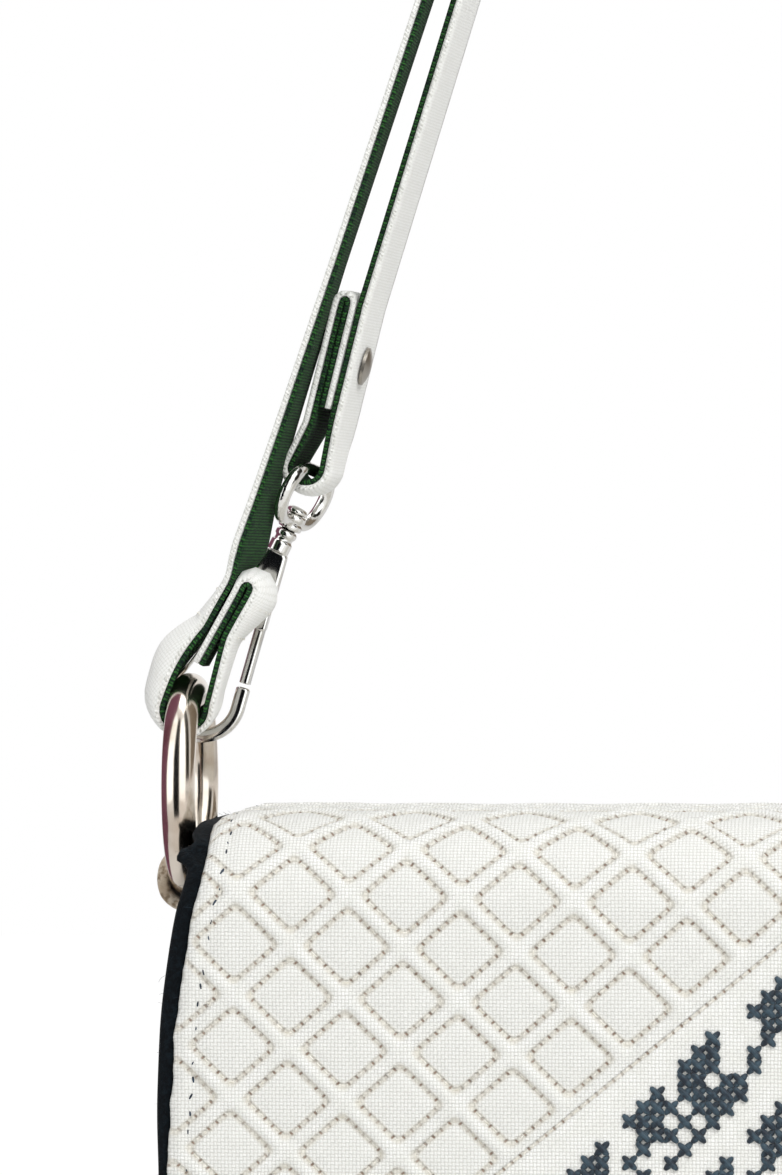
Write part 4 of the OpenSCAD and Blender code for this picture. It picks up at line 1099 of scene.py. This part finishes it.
lining_cloth = slab("lining_cloth", lining_grid(LINING_T), lining_grid(0.02), lining_grid(0) * 0,
    np.stack([lx, lrun, 0 * lx], -1))
wear(lining_cloth, cotton_finish)
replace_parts(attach(lining_cloth, "bag"), "lining")
float(2 * half.max() * MM)
float(lrun.max() * MM)
float((2 * half * np.gradient(lrun[:, 0])).sum() * MM * MM)

pocket_low = floor_d - LINING_T - (CORNER_R - FELT_T)
px, ph = np.meshgrid(np.linspace(-1, 1, 61), np.linspace(0, 1, 41))
belly = np.minimum(1, (1 - np.abs(px) ** 9) ** 0.5) * np.minimum(1, (ph * 12) ** 0.5)
gape = (POCKET_GAP + 0.35 * drift(px * 60, ph * 90, 20.0, 33)) * belly


def pocket_grid(off):
    y = LINING_Y - LINING_T - 0.05 - np.maximum(gape + off * np.minimum(1, belly + 0.2), 0)
    return np.stack([px * POCKET_W / 2, HANG_Y + y, BAG_Z - pocket_low + ph * POCKET_H], -1)


pocket_cloth = slab("slip_pocket_cloth", pocket_grid(LINING_T), pocket_grid(0.0), pocket_grid(0) * 0,
    np.stack([px * POCKET_W / 2, ph * POCKET_H, 0 * px], -1))
wear(pocket_cloth, cotton_finish)
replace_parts(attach(pocket_cloth, "bag"), "slip_pocket")
hem_x = np.arange(-POCKET_W / 2 + 4, POCKET_W / 2 - 3, HEM_PITCH)
hem = np.stack([hem_x, 0 * hem_x + HANG_Y + LINING_Y - LINING_T - POCKET_GAP - LINING_T - 0.15,
    0 * hem_x + BAG_Z - pocket_low + POCKET_H - HEM_DOWN], 1)
pocket_sewing = sewn("slip_pocket_sewing", hem,
    np.tile([1.0, 0, 0], (len(hem), 1)), np.tile([0, -1.0, 0], (len(hem), 1)),
    HEM_STITCH, thread_finish, 0.1, 13)
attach(pocket_sewing, "bag")
board_finish = Finish("board", Roughness=0.8)
board_fleck = board_finish.noise(900.0, 4)
board_finish.set(Base_Color=board_finish.blend(board_fleck.fade(0.35, 0.65),
    colour(120, 104, 82), colour(150, 134, 108)))
board_finish.relief(board_fleck, 0.06, 0.5)
wear(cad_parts["base_board"], board_finish)

# Magnetic snap
# A stud on the flap and a socket on the front panel, pressed from steel and nickelled, each riveted
# through its felt against a washer.
snap_finish = metal_finish("snap_metal", colour(190, 188, 182), colour(150, 147, 140), 0.24)
for node in ("snap_stud", "stud_washer", "snap_socket", "socket_washer"):
    wear(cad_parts[node], snap_finish)

# Flap, felt side
# The flap is two layers, linen over navy felt, stitched together round their edge. It is sewn on low
# behind, runs over the top and hangs down the front; the felt shows as a dark edge beside the linen.
BACK_DROP, FLAP_LEN, FLAP_CORNER = 46.0, 170.0, 52.0
FLAP_BACK, FLAP_FRONT = 31.4, -34.9
LINEN_T, FLAP_FELT_T, PATH_STEP = 1.8, 1.55, 0.1
FOLD_LEN = FOLD_R * math.pi / 2
TOP_LEN = FLAP_BACK - FLAP_FRONT - 2 * FOLD_R
FLAP_RUN = BACK_DROP - FOLD_R + 2 * FOLD_LEN + TOP_LEN + FLAP_LEN - FOLD_R
FRONT_FROM = FLAP_RUN - FLAP_LEN + FOLD_R - FOLD_LEN
END_REACH, END_DROOP, TOP_SAG, FLAP_WAVE = 6.0, 0.9, 1.2, 0.35
path_s = np.arange(0, FLAP_RUN + 2, PATH_STEP)
path_angle = math.pi / 2 * (np.clip((path_s - BACK_DROP + FOLD_R) / FOLD_LEN, 0, 1)
    + np.clip((path_s - BACK_DROP + FOLD_R - FOLD_LEN - TOP_LEN) / FOLD_LEN, 0, 1))
step_angle = (path_angle[1:] + path_angle[:-1]) / 2
path_y = FLAP_BACK - np.concatenate([[0], np.cumsum(np.sin(step_angle))]) * PATH_STEP
path_z = -BACK_DROP + np.concatenate([[0], np.cumsum(np.cos(step_angle))]) * PATH_STEP


def flap_drop(s):
    """How far below the top edge the flap is, at lengths along its path."""
    return -np.interp(s, path_s, path_z)


def settled(x, s):
    """How far the flap lies out of its plain path: its ends droop, its top sags, its front waves a little."""
    top = np.sin(np.interp(s, path_s, path_angle))
    end = np.clip(1 - (side_x(np.clip(flap_drop(s), 0, 50)) - np.abs(x)) / END_REACH, 0, 1.1)
    front = np.clip((s - FRONT_FROM - FOLD_LEN) / 30, 0, 1)
    return (-END_DROOP * end ** 2 * top ** 0.7 - TOP_SAG * top ** 4
        + FLAP_WAVE * drift(x, s, 34.0, 41) * (0.5 + front))


def on_flap(x, s, off):
    """Points off the flap's outer face, and the way out of it there."""
    angle = np.interp(s, path_s, path_angle)
    off = off + settled(x, s)
    out = np.stack([0 * x, np.cos(angle) + 0 * x, np.sin(angle) + 0 * x], -1)
    at = np.stack([x, np.interp(s, path_s, path_y) + HANG_Y + 0 * x,
        np.interp(s, path_s, path_z) + BAG_Z + 0 * x], -1)
    return at + out * np.asarray(off)[..., None], out


def flap_rows(inset, low_inset, straight_rows, corner_rows):
    """Path lengths and half widths of the flap's rows; inset gives how far inside the outline, by drop."""
    corner_s = FLAP_RUN - FLAP_CORNER
    s = np.linspace(0, corner_s, straight_rows + 1)
    angle = np.linspace(0, math.pi / 2, corner_rows + 1)[1:]
    radius = FLAP_CORNER - low_inset
    half = side_x(flap_drop(s), FLAP_LEN, FLAP_CORNER) - inset(flap_drop(s))
    centre = half[-1] - radius
    return (np.concatenate([s, corner_s + radius * np.sin(angle)]),
        np.concatenate([half, centre + radius * np.cos(angle)]))


def flap_sheet(name, s, half, columns, top, bottom, step=1):
    """A layer of the flap between two heights, each a function of x, s and the distance to the edge."""
    share = np.linspace(-1, 1, columns)
    x, s = half[:, None] * share, s[:, None] + 0 * share
    edge = np.minimum(half[:, None] * (1 - np.abs(share)), np.minimum(s - s[0], s[-1] - s))
    outer, out = on_flap(x, s, top(x, s, edge))
    inner, _ = on_flap(x, s, bottom(x, s, edge))
    push = np.zeros_like(outer)
    push[:, 0, 0], push[:, -1, 0], push[-1, :, 2] = -0.4, 0.4, -0.4
    return slab(name, outer, inner, push, np.stack([x, s - FRONT_FROM, 0 * x], -1), step)


# The felt's raw edge stands past the linen, with humps beside the ring: how far each stands out, at what
# drop, over what length, and how squarely it swells
FELT_PAST, FELT_HUMPS = 0.6, ((1.6, 0.4, 2.8, 4), (1.0, 4.5, 4.5, 2), (2.15, 6.7, 1.6, 4))
felt_inset = lambda d: -FELT_PAST + 0.25 * drift(d, d, 9.0, 42) - sum(
    past * np.exp(-((d - drop) / reach) ** power) for past, drop, reach, power in FELT_HUMPS)
felt_s, felt_half = flap_rows(felt_inset, -0.5, 200, 34)
round_over = lambda edge, reach, depth: depth * np.clip(1 - edge / reach, 0, 1) ** 2
felt_lip = lambda s, e: (0.5 + 1.3 * np.sin(np.interp(s, path_s, path_angle))) * np.clip(1 - e / 3.0, 0, 1)
flap_felt = flap_sheet("flap_felt", felt_s, felt_half, 145,
    lambda x, s, e: -LINEN_T - 0.05 - round_over(e, 1.2, 0.4) + felt_lip(s, e),
    lambda x, s, e: -LINEN_T - FLAP_FELT_T + round_over(e, 1.2, 0.4) + felt_lip(s, e) * 0.6)
wear(flap_felt, felt_finish)
place = np.array([v.co for v in flap_felt.data.vertices])
rim = side_x(np.clip(BAG_Z - place[:, 2] / MM, 0, BAG_H), FLAP_LEN, FLAP_CORNER) - np.abs(place[:, 0]) / MM
flap_fibres = fuzz(flap_felt, "felt_fibres_flap", 0.02 + 0.98 * (rim < 3.0), 25)
on_hinge = lambda piece, name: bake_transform(piece)
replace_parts(on_hinge(flap_felt, "navy_felt"), "crown_backing", "flap_backing")
on_hinge(flap_fibres, "navy_felt")

# Flap, quilted linen
# Cream linen over thin wadding, quilted in rounded diamonds outside a plain lozenge. Every diamond is a
# line of running stitch; the bands between them stand up; painted shade darkens diamonds, lines and holes.
DIAMOND_W, DIAMOND_H, LEAN_DEG = 18.4, 16.8, 1.5
S_MIDDLE, T_MIDDLE, DIAMOND_SHARE, DIAMOND_MM, SQUARENESS = -0.181, -0.324, 0.378, 12.3, 9
LOZENGE_W, LOZENGE_H, LOZENGE_S = 98.0, 79.7, 89.4
LOZENGE_MM = 1 / math.hypot(1 / LOZENGE_W, 1 / LOZENGE_H)
STITCH_PITCH, BORDER_PITCH, BAND_RISE, LINEN_PITCH = 1.71, 1.77, 0.65, 0.6
PUFF_RISE, LINE_PULL, BORDER_PULL, SEAM_IN = 0.2, 0.35, 0.3, 3.0
QUILT_CLEAR, LINE_CLEAR = 3.5, 0.6
lean_c, lean_s = math.cos(math.radians(LEAN_DEG)), math.sin(math.radians(LEAN_DEG))


def past_lozenge(x, w):
    """How far a place on the flap lies outside the plain lozenge, and less than 0 inside it."""
    return (np.abs(x) / LOZENGE_W + np.abs(w - LOZENGE_S) / LOZENGE_H - 1) * LOZENGE_MM


def diamond_middle(x, w):
    """The nearest diamond's middle, and the two lattice distances from it."""
    u, v = x * lean_c + w * lean_s, w * lean_c - x * lean_s
    a, b = u / DIAMOND_W + v / DIAMOND_H - S_MIDDLE, u / DIAMOND_W - v / DIAMOND_H - T_MIDDLE
    ma, mb = np.round(a), np.round(b)
    mu = (ma + S_MIDDLE + mb + T_MIDDLE) * DIAMOND_W / 2
    mv = (ma + S_MIDDLE - mb - T_MIDDLE) * DIAMOND_H / 2
    return mu * lean_c - mv * lean_s, mv * lean_c + mu * lean_s, a - ma, b - mb


def linen_relief(x, s, edge):
    """Height of the quilting: raised bands, stitch lines pulled in, diamonds a little puffed."""
    w = s - FRONT_FROM
    mx, mw, a, b = diamond_middle(x, w)
    kept = past_lozenge(mx, mw) > QUILT_CLEAR
    reach = (np.abs(a) ** SQUARENESS + np.abs(b) ** SQUARENESS) ** (1 / SQUARENESS)
    line = (reach - DIAMOND_SHARE) * DIAMOND_MM
    band = np.clip(line / 0.9, 0, 1)
    band = np.where(kept, band ** 2 * (3 - 2 * band), 1.0)
    puff = np.where(kept, PUFF_RISE * np.clip(1 - (reach / DIAMOND_SHARE) ** 2, 0, 1), 0)
    pull = np.where(kept, LINE_PULL * np.exp(-(line / 0.6) ** 2), 0)
    outside = past_lozenge(x, w)
    inside_step = np.clip(outside / 2.0, 0, 1)
    border = BORDER_PULL * np.exp(-(outside / 0.7) ** 2)
    height = (BAND_RISE * band + puff) * inside_step - pull * (outside > 0) - border
    seam = (0.4 + 0.25 * drift(x, s, 2.4, 45)) * np.exp(-((edge - SEAM_IN) / 0.9) ** 2)
    return height * np.clip((edge - 1.0) / 2.5, 0, 1) - seam - round_over(edge, 1.6, 0.75)


linen_inset = lambda d: (2.2 - 2.1 * np.exp(-(d / 4.5) ** 2) - np.clip((d - 40) / 20, 0, 1)
    + 0.35 * drift(d, d, 6.0, 43) + 0.38 * drift(d, d, 1.5, 44))
linen_s, linen_half = flap_rows(linen_inset, 1.5, 236, 56)
flap_linen = flap_sheet("flap_linen_quilted", linen_s, linen_half, 265, linen_relief,
    lambda x, s, e: -LINEN_T + round_over(e, 1.6, 0.5), 4)
linen_finish = Finish("quilted_linen", Roughness=0.92, Sheen_Weight=0.15, Specular_IOR_Level=0.2)
across, along, _ = linen_finish.cloth()
slub = linen_finish.noise(0.8, 2, at=linen_finish.joined(across * 0.25, along)) - 0.5
slub_up = linen_finish.noise(0.8, 2, at=linen_finish.joined(across, along * 0.25)) - 0.5
linen_weave = plain_weave(across + slub_up * 0.25, along + slub * 0.25, LINEN_PITCH)
linen_tone = linen_finish.noise(0.35, 3, at=linen_finish.joined(across, along))
# The same lattice as the mesh's, in the cloth's own millimetres
u, v = across * lean_c + along * lean_s, along * lean_c - across * lean_s
a, b = u / DIAMOND_W + v / DIAMOND_H - S_MIDDLE, u / DIAMOND_W - v / DIAMOND_H - T_MIDDLE
middle_u = (a.nearest() + b.nearest() + (S_MIDDLE + T_MIDDLE)) * (DIAMOND_W / 2)
middle_v = (a.nearest() - b.nearest() + (S_MIDDLE - T_MIDDLE)) * (DIAMOND_H / 2)
off_a, off_b = abs(a - a.nearest()), abs(b - b.nearest())
lozenge = lambda x, w: (abs(x) / LOZENGE_W + abs(w - LOZENGE_S) / LOZENGE_H - 1) * LOZENGE_MM
kept = lozenge(middle_u * lean_c - middle_v * lean_s, middle_v * lean_c + middle_u * lean_s).over(QUILT_CLEAR)
outside = lozenge(across, along)
reach = (off_a ** SQUARENESS + off_b ** SQUARENESS) ** (1 / SQUARENESS)
line = abs(reach - DIAMOND_SHARE) * DIAMOND_MM
count = off_a.least(off_b) * (DIAMOND_MM / STITCH_PITCH)
hole = abs(count - count.nearest()) * STITCH_PITCH
side_len = math.hypot(LOZENGE_W, LOZENGE_H)
border_count = (abs(across) * LOZENGE_W - abs(along - LOZENGE_S) * LOZENGE_H) / (side_len * BORDER_PITCH)
border_hole = abs(border_count - border_count.nearest()) * BORDER_PITCH
uneven = linen_finish.noise(0.6, 2, at=linen_finish.joined(across, along, 3.0)).fade(0.3, 0.6)
on_line = line.fade(0.5, 0.1) * kept * outside.over(LINE_CLEAR)
on_border = abs(outside).fade(0.5, 0.1)
groove = on_line.most(on_border)
# Painted shade in the needle holes along the stitch lines and the border, uneven in strength
shaded_holes = (on_line * hole.fade(0.3, 0.06)).most(on_border * border_hole.fade(0.32, 0.06))
# Painted tan shade along the sunken stitch lines of the diamonds
groove_shade = line.fade(0.9, 0.1) * kept * outside.over(LINE_CLEAR)
# Painted shade: the sunken diamonds are a little darker than the raised bands between them
inside = reach.fade(DIAMOND_SHARE, DIAMOND_SHARE - 0.1) * kept
plain = linen_finish.blend(linen_tone.fade(0.35, 0.65), colour(237, 237, 232), colour(243, 243, 240))
base = linen_finish.blend(inside * 0.6, plain, colour(232, 232, 228))
# Painted shade in the gaps of the linen weave
base = linen_finish.blend(linen_weave.fade(0.1, 0.8), colour(216, 215, 209), base)
# Painted tan shade along the stitch lines and the lozenge's border
base = linen_finish.blend(groove_shade.most(on_border) * 0.42, base, colour(206, 197, 176))
# The brown is painted shade in the needle holes
linen_finish.set(Base_Color=linen_finish.blend(shaded_holes * (uneven * 0.7 + 0.15), base, colour(128, 98, 76)))
linen_finish.relief(linen_weave + slub * 0.5 - groove * 1.8 - shaded_holes * 1.5, 0.14, 0.85)
wear(flap_linen, linen_finish)
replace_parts(on_hinge(flap_linen, "quilted_linen"), "crown_linen", "flap_linen")

# Running stitch round every diamond: short linen threads between the needle holes
linen_thread = Finish("linen_thread", Roughness=0.9, Sheen_Weight=0.15)
linen_thread.set(Base_Color=linen_thread.blend(linen_thread.noise(800.0, 1).fade(0.4, 0.6),
    colour(216, 211, 197), colour(234, 231, 222)))
linen_edge = lambda x, s: np.minimum(np.interp(s, linen_s, linen_half) - np.abs(x),
    np.minimum(s, linen_s[-1] - s))


def on_linen(x, w, above):
    """Places on the linen's face, or a little above it, and the way out of it."""
    s = w + FRONT_FROM
    return on_flap(x, s, linen_relief(x, s, linen_edge(x, s)) + above)


def along_flap(x, w, dx, dw):
    """The stretch of a stitch that runs dx and dw either way of its middle."""
    return on_flap(x + dx, w + dw + FRONT_FROM, 0)[0] - on_flap(x - dx, w - dw + FRONT_FROM, 0)[0]


def lattice_to_cloth(a, b):
    """A place on the cloth for a place in the lattice of diamonds."""
    u, v = (a + b) * DIAMOND_W / 2, (a - b) * DIAMOND_H / 2
    return u * lean_c - v * lean_s, v * lean_c + u * lean_s


QUILT_THREAD, BORDER_THREAD, QUILT_STEP = (1.3, 0.34, 0.34), (1.35, 0.34, 0.34), 0.02
steps = (np.arange(3) + 0.5) * STITCH_PITCH / DIAMOND_MM
steps = np.concatenate([-steps[::-1], steps])


def round_off(q):
    """Where a diamond's rounded line lies, for a place q along its side."""
    reach = np.minimum(np.abs(q), DIAMOND_SHARE * 0.97)
    return (DIAMOND_SHARE ** SQUARENESS - reach ** SQUARENESS) ** (1 / SQUARENESS)


many = np.arange(-32, 33)
ga, gb = (g.ravel() for g in np.meshgrid(many + S_MIDDLE, many + T_MIDDLE))
gx, gw = lattice_to_cloth(ga, gb)
use = (past_lozenge(gx, gw) > QUILT_CLEAR) & (np.abs(gx) < 138) & (gw > -96) & (gw < 190)
ga, gb = ga[use], gb[use]
quilt_x, quilt_w, quilt_dx, quilt_dw = [], [], [], []
for sign in (-1, 1):
    for swap in (False, True):
        for q in steps:
            ends = [(sign * round_off(at), at) for at in (q, q - QUILT_STEP, q + QUILT_STEP)]
            (mx, mw), (x0, w0), (x1, w1) = [
                lattice_to_cloth(ga + (e if swap else d), gb + (d if swap else e)) for d, e in ends]
            quilt_x.append(mx)
            quilt_w.append(mw)
            quilt_dx.append((x1 - x0) / 2)
            quilt_dw.append((w1 - w0) / 2)
qx, qw, dx, dw = (np.concatenate(v) for v in (quilt_x, quilt_w, quilt_dx, quilt_dw))
use = (past_lozenge(qx, qw) > LINE_CLEAR) & (linen_edge(qx, qw + FRONT_FROM) > 4.2)
qx, qw, dx, dw = (v[use] for v in (qx, qw, dx, dw))
at, out = on_linen(qx, qw, 0.02)
quilting = sewn("quilting_threads", at, along_flap(qx, qw, dx, dw), out, QUILT_THREAD, linen_thread, 0.12, 51)
on_hinge(quilting, "quilted_linen")

# One line of the same stitch borders the lozenge
spots = np.arange(math.ceil((-LOZENGE_H ** 2 / side_len) / BORDER_PITCH - 0.5),
    (LOZENGE_W ** 2 / side_len) / BORDER_PITCH - 0.5)
spots = (spots + 0.5) * BORDER_PITCH
bx = (spots * side_len + LOZENGE_H ** 2) * LOZENGE_W / side_len ** 2
bw = (LOZENGE_W - bx) * LOZENGE_H / LOZENGE_W
bx, bw, dx, dw = (np.concatenate([sx * p if k in (0, 2) else sw * p for sx in (-1, 1) for sw in (-1, 1)])
    for k, p in enumerate((bx, bw, bx * 0 + 0.2, bw * 0 - 0.2 * LOZENGE_H / LOZENGE_W)))
at, out = on_linen(bx, bw + LOZENGE_S, 0.04)
border_sewing = sewn("border_threads", at, along_flap(bx, bw + LOZENGE_S, dx, dw), out,
    BORDER_THREAD, linen_thread, 0.1, 52)
on_hinge(border_sewing, "quilted_linen")

# Navy thread holds linen and felt together near the edge
EDGE_PITCH, EDGE_THREAD = 2.9, (0.95, 0.36, 0.36)
path_x = np.concatenate([-linen_half + SEAM_IN, (linen_half - SEAM_IN)[::-1]])
low_cut = linen_s[-1] - SEAM_IN
path_w = np.concatenate([np.minimum(linen_s, low_cut), np.minimum(linen_s, low_cut)[::-1]]) - FRONT_FROM
length = np.concatenate([[0], np.cumsum(np.hypot(np.diff(path_x), np.diff(path_w)))])
by_hand = np.random.default_rng(53)
spots = np.arange(4, length[-1] - 4, EDGE_PITCH)
spots = spots + by_hand.uniform(-0.7, 0.7, len(spots))
ex, ew = np.interp(spots, length, path_x), np.interp(spots, length, path_w)
dx, dw = (np.interp(spots + 0.5, length, p) - np.interp(spots - 0.5, length, p) for p in (path_x, path_w))
ex = ex + by_hand.uniform(-0.3, 0.3, len(spots))
dx, dw = dx + by_hand.uniform(-0.35, 0.35, len(spots)), dw + by_hand.uniform(-0.35, 0.35, len(spots))
at, out = on_linen(ex, ew, -0.04)
edge_sewing = sewn("edge_threads", at, along_flap(ex, ew, dx / 2, dw / 2), out,
    EDGE_THREAD, seam_finish, 0.3, 54, ROUND_THREAD)
on_hinge(edge_sewing, "quilted_linen")

# Cross-stitch
# Navy stranded cotton in the plain lozenge: two rows of leafy sprigs that follow its border, and a star
# in the middle. Every stitch is two threads crossed over one square of the linen.
CELL, CROSS_THREAD = 2.24, (3.25, 1.1, 0.62)
SPRIG_STEP, BORDER_ROOM, INNER_ACROSS, INNER_DOWN, FIELD_MARGIN = 4.15, 5.2, 5.2, 5.0, 2.2
# Each sprig row by row, from its tip: the runs of crosses, counted away from the bag's middle
LEAF = (((0, 0),), ((0, 1),), ((-3, -3), (0, 2)), ((-2, -1), (1, 2)), ((-2, 2),), ((-1, 1),),
    ((0, 0), (2, 2)), ((1, 1),))
BUD = (((0, 0),), ((-1, 1),), ((0, 2),), ((-1, 1),), ((-2, -2), (1, 1)), ((-1, -1), (2, 2)))
cells = set()
for k in range(9):
    reach = (LOZENGE_H * (1 - SPRIG_STEP * CELL * k / LOZENGE_W) - BORDER_ROOM) / CELL
    tip = (round(SPRIG_STEP * k), round(min(34.5 - 3.9 * k, reach)))
    for sprig, row_in, row_down in ((BUD if k % 2 else LEAF, 0, 0),
            (LEAF if k % 2 else BUD, INNER_ACROSS, INNER_DOWN)):
        i0, j0 = round(tip[0] - row_in), round(tip[1] - row_down)
        for down, runs in enumerate(sprig):
            cells |= {(i0 + i, j0 - down) for low, high in runs for i in range(low, high + 1)}
star = {(i, j) for i in range(-9, 10) for j in range(-9, 10)
    if min(abs(i), abs(j)) * 2 + max(abs(i), abs(j)) <= 9 and abs(i) != abs(j)
    or max(abs(i), abs(j)) <= 3 and abs(i) + abs(j) != 4}
cells = {(i, j) for i, j in cells if i >= 0 and j >= 0}
cells = {(i * p, j * q) for i, j in cells for p in (-1, 1) for q in (-1, 1)} | star
cells = np.array(sorted(c for c in cells
    if past_lozenge(c[0] * CELL, c[1] * CELL + LOZENGE_S) < -FIELD_MARGIN), float)
cx, cw = cells[:, 0] * CELL, LOZENGE_S - cells[:, 1] * CELL
floss = Finish("navy_floss", Roughness=0.6, Sheen_Weight=0.15, Specular_IOR_Level=0.35)
strands = floss.noise(900.0, 3)
floss.set(Base_Color=floss.blend(strands.fade(0.35, 0.65), colour(18, 30, 42), colour(50, 70, 82)))
floss.relief(strands, 0.16, 0.9)
CROSS_TREE = thread_tree(10, 4)
cross_at, cross_along, cross_out = [], [], []
for lift, slant in ((0.12, -1), (0.34, 1)):
    at, out = on_linen(cx, cw, lift)
    cross_at.append(at)
    cross_along.append(along_flap(cx, cw, 0 * cx + 0.3, 0 * cw + 0.3 * slant))
    cross_out.append(out)
crosses = sewn("cross_stitch", np.vstack(cross_at), np.vstack(cross_along), np.vstack(cross_out),
    CROSS_THREAD, floss, 0.05, 55, CROSS_TREE)
on_hinge(crosses, "quilted_linen")

# Floor, cards and lamps
# A white studio sweep. The dark and white cards stand off camera and are seen only by the bright metal,
# which shows them as its stripes.
FLOOR_Z, FLOOR_REACH, FLOOR_GLOW, FLOOR_GLOW_SHARE = -0.5062, 3, 1.09, 0.88
FILL_COLOUR, FILL_STRENGTH = (0.985, 0.99, 1, 1), 0.43
CARD_TOP, CARD_COLOUR = 0.6, (0.94, 0.98, 1.0, 1)
floor_mesh = bpy.data.meshes.new("floor")
floor_mesh.from_pydata([(x * FLOOR_REACH, y * FLOOR_REACH, FLOOR_Z)
    for x, y in ((-1, -1), (1, -1), (1, 1), (-1, 1))], [], [(0, 1, 2, 3)])
floor = bpy.data.objects.new("floor", floor_mesh)
scene.collection.objects.link(floor)
floor_finish = Finish("floor_white", Roughness=0.9)
floor_finish.set(Base_Color=colour(243, 243, 242))
# Seen by the camera it is nearly as white as the backdrop, and still takes the bag's shadow
seen = Value(floor_finish.tree, floor_finish.add("LightPath"))
glow = floor_finish.add("Emission", Color=(1, 1, 1, 1), Strength=FLOOR_GLOW)
mixed = floor_finish.add("MixShader", Fac=seen * FLOOR_GLOW_SHARE)
mix_node = mixed.node
floor_finish.tree.links.new(floor_finish.shader.outputs[0], mix_node.inputs[1])
floor_finish.tree.links.new(glow, mix_node.inputs[2])
floor_finish.tree.links.new(mixed, floor_finish.tree.nodes["Material Output"].inputs["Surface"])
wear(floor, floor_finish)
world = bpy.data.worlds.new("studio")
scene.world = world
world.use_nodes = True
nodes, link = world.node_tree.nodes, world.node_tree.links.new
rays, backdrop, world_out = nodes.new("ShaderNodeLightPath"), nodes["Background"], nodes["World Output"]
either, either_too = nodes.new("ShaderNodeMath"), nodes.new("ShaderNodeMath")
fill, mixed = nodes.new("ShaderNodeBackground"), nodes.new("ShaderNodeMixShader")
backdrop.inputs["Color"].default_value, backdrop.inputs["Strength"].default_value = (1, 1, 1, 1), 1.0
fill.inputs["Color"].default_value, fill.inputs["Strength"].default_value = FILL_COLOUR, FILL_STRENGTH
for node in (either, either_too):
    node.operation = "MAXIMUM"
link(rays.outputs["Is Camera Ray"], either.inputs[0])
link(rays.outputs["Is Glossy Ray"], either.inputs[1])
link(either.outputs[0], either_too.inputs[0])
link(rays.outputs["Is Transmission Ray"], either_too.inputs[1])
link(either_too.outputs[0], mixed.inputs[0])
link(fill.outputs[0], mixed.inputs[1])
link(backdrop.outputs[0], mixed.inputs[2])
link(mixed.outputs[0], world_out.inputs["Surface"])
# Each lamp's place, what it is aimed at, its size and its watts
for name, place, aim, size, watts in (
        ("key", (0.6, -1.1, 0.9), (-0.05, 0, -0.32), 0.7, 20.5),
        ("fill", (-1.1, -1.2, -0.35), (0, 0, -0.35), 1.2, 5.4),
        ("top", (0.1, 0.3, 1.2), (0, 0, -0.3), 1.0, 7.0)):
    lamp = bpy.data.lights.new(name, "AREA")
    lamp.size, lamp.energy = size, watts
    holder = bpy.data.objects.new(name, lamp)
    scene.collection.objects.link(holder)
    holder.location = place
    holder.rotation_euler = (Vector(aim) - Vector(place)).to_track_quat("-Z", "Y").to_euler()
# Cards stand round the left ring, each between two bearings in degrees (0 towards the camera, 90 towards
# the bag), at its distance and down to its low edge in metres, with its shade and its light
for name, bearings, away, low, shade, shine in (
        ("card_front", (-26, 13), 0.30, -0.50, (6, 8, 14), 0),
        ("card_left", (-150, -78), 0.34, -0.50, (122, 80, 98), 0),
        ("card_right", (62, 88), 0.30, -0.30, (40, 38, 30), 0),
        ("card_far", (100, 150), 0.5, -0.30, (150, 138, 122), 0),
        ("card_white_left", (-74, -30), 0.36, -0.40, (0, 0, 0), 1.9),
        ("card_white_right", (17, 58), 0.36, -0.40, (0, 0, 0), 1.9)):
    edges = [(away * math.sin(b) - RING_X * MM, -away * math.cos(b) - RING_R * MM)
        for b in map(math.radians, bearings)]
    mesh = bpy.data.meshes.new(name)
    mesh.from_pydata([(*edges[0], low), (*edges[1], low), (*edges[1], CARD_TOP), (*edges[0], CARD_TOP)],
        [], [(0, 1, 2, 3)])
    card = bpy.data.objects.new(name, mesh)
    scene.collection.objects.link(card)
    card_finish = Finish(name, Roughness=1.0, Specular_IOR_Level=0.0)
    card_finish.set(Base_Color=colour(*shade), Emission_Color=CARD_COLOUR, Emission_Strength=shine)
    wear(card, card_finish)
    card.visible_camera = card.visible_diffuse = card.visible_shadow = card.visible_transmission = False
